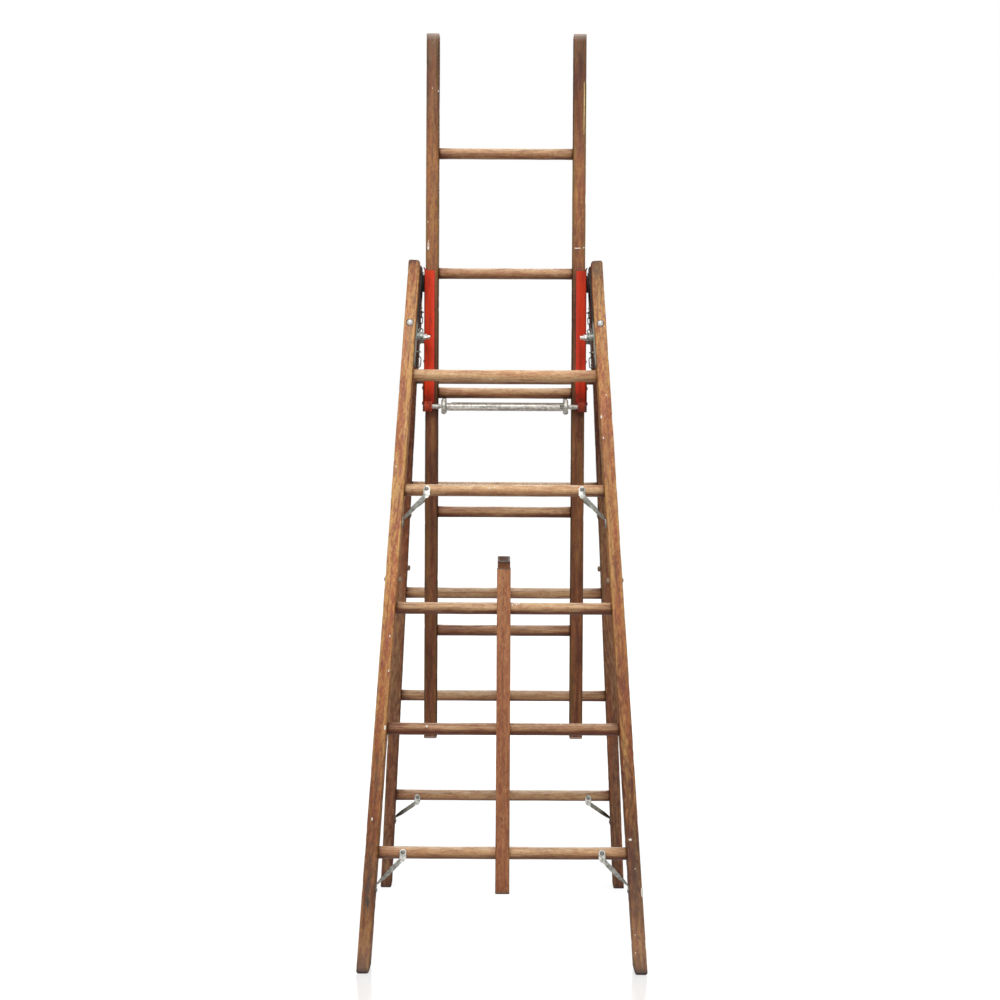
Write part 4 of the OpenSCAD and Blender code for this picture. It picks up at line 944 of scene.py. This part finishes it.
rungSpecks = [    # rung, across, half width, half height, degrees above the foremost line
    (2, -0.184, 0.002, 0.0034, 20), (3, 0.0205, 0.0014, 0.003, 24), (3, 0.0255, 0.0018, 0.0014, 50),
    (3, 0.031, 0.0026, 0.0028, 38), (3, 0.037, 0.0022, 0.0022, 44), (3, 0.0425, 0.0015, 0.0015, 56),
    (4, -0.037, 0.0016, 0.003, 10), (4, -0.024, 0.0014, 0.0026, 20), (5, -0.035, 0.0026, 0.0014, -60),
    (2, 0.14, 0.002, 0.0012, 50),
]
for number, (rungNumber, across, halfW, halfH, angle) in enumerate(rungSpecks):
    place = sectionMatrix(1) @ move(across, -ladder["planeGap"], -rungU(rungNumber))
    place = place @ turn(-math.radians(angle), "X")
    splash(f"rungSpeck{number + 1}", place, (0, -ladder["baseRungR"] + 0.0006, 0), (halfW, halfH),
           0.0007, number + 61, whitePaint, "front_section")
print("splashes added")


# 1 for rays from the camera, mirrored rays and rays sent through, 0 for those that light other things
def seenRays(tree):
    paths = add(tree, "LightPath").outputs
    return calc(tree, "MAXIMUM", paths["Is Camera Ray"],
                calc(tree, "MAXIMUM", paths["Is Glossy Ray"], paths["Is Transmission Ray"]))


floorLook = dict(size=30.0, seenColor="8c8c8c", litColor="d6d6d6", roughness=0.14, polishY=(-0.3, -0.46),
                 polishReach=(1.7, 0.9), polishX=(0.27, 0.31), gloss=0.5, glow=(1.0, 3.2, 0.82, 1.0),
                 glossLoss=0.18)
worldLook = dict(color=(1, 1, 1, 1), ambient=0.42, shown=1.0)


# pale floor: it lights the ladder as a pale grey but shows nearly white by a glow that grows with the
# distance from the middle. It is polished where three smooth steps multiply: in front of the feet, near
# the ladder and to both sides of the middle
def buildFloor(look):
    mesh = bpy.data.meshes.new("floor")
    h = look["size"]
    mesh.from_pydata([(-h, -h, 0), (h, -h, 0), (h, h, 0), (-h, h, 0)], [], [(0, 1, 2, 3)])
    floor = bpy.data.objects.new("floor", mesh)
    bpy.context.scene.collection.objects.link(floor)
    material, tree, surface = newMaterial("floorPale")
    seen = seenRays(tree)
    place = objectPlace(tree)
    parts = splitVector(tree, place)
    reach = add(tree, "VectorMath", {0: place}, operation="LENGTH").outputs["Value"]
    polished = times(tree, smooth(tree, parts["Y"], *look["polishY"]),
                     smooth(tree, reach, *look["polishReach"]))
    polished = times(tree, polished, smooth(tree, calc(tree, "ABSOLUTE", parts["X"]), *look["polishX"]))
    glow = calc(tree, "SUBTRACT", smooth(tree, reach, *look["glow"]),
                times(tree, polished, look["glossLoss"]))
    feed(tree, surface, {
        "Base Color": blend(tree, seen, look["litColor"], look["seenColor"]),
        "Roughness": look["roughness"], "Specular IOR Level": times(tree, polished, look["gloss"]),
        "Emission Color": (1, 1, 1, 1), "Emission Strength": times(tree, seen, glow)})
    mesh.materials.append(material)


# even surroundings: one strength lights things and another is seen
def buildWorld(look):
    world = bpy.data.worlds.new("studio")
    bpy.context.scene.world = world
    world.use_nodes = True
    tree = world.node_tree
    tree.nodes.clear()
    ambient, shown = (add(tree, "Background", {"Color": look["color"], "Strength": look[key]}).outputs[0]
                      for key in ("ambient", "shown"))
    mixed = add(tree, "MixShader", {0: seenRays(tree), 1: ambient, 2: shown})
    add(tree, "OutputWorld", {0: mixed.outputs[0]})


buildFloor(floorLook)
buildWorld(worldLook)

lamps = [
    dict(name="keyLamp", place=(-0.8, -3.6, 4.2), aim=(0, 0, 1.1), size=2.4, power=122),
    dict(name="backLamp", place=(0.8, 3.8, 3.4), aim=(0, 0, 1.1), size=2.4, power=55),
    dict(name="topLamp", place=(0.5, -0.4, 4.6), aim=(0, 0, 1.0), size=2.6, power=58),
]
for lamp in lamps:
    data = bpy.data.lights.new(lamp["name"], "AREA")
    data.shape = "SQUARE"
    data.size = lamp["size"]
    data.energy = lamp["power"]
    holder = bpy.data.objects.new(lamp["name"], data)
    bpy.context.scene.collection.objects.link(holder)
    holder.location = lamp["place"]
    holder.rotation_euler = (Vector(lamp["aim"]) - Vector(lamp["place"])).to_track_quat("-Z", "Y").to_euler()

cameraLook = dict(focal=67.984, sensor=36.0, place=(0.0, -4.8462, 1.2392), pitch=0.02936, roll=0.00516,
                  shiftX=-0.00428)
cameraData = bpy.data.cameras.new("camera")
cameraData.sensor_width = cameraLook["sensor"]
cameraData.lens = cameraLook["focal"]
cameraData.shift_x = cameraLook["shiftX"]
camera = bpy.data.objects.new("camera", cameraData)
bpy.context.scene.collection.objects.link(camera)
camera.matrix_world = (Matrix.Translation(cameraLook["place"])
                       @ Matrix.Rotation(math.pi / 2 - cameraLook["pitch"], 4, "X")
                       @ Matrix.Rotation(cameraLook["roll"], 4, "Z"))
bpy.context.scene.camera = camera
bpy.context.scene.view_settings.view_transform = "Standard"
print("studio set")
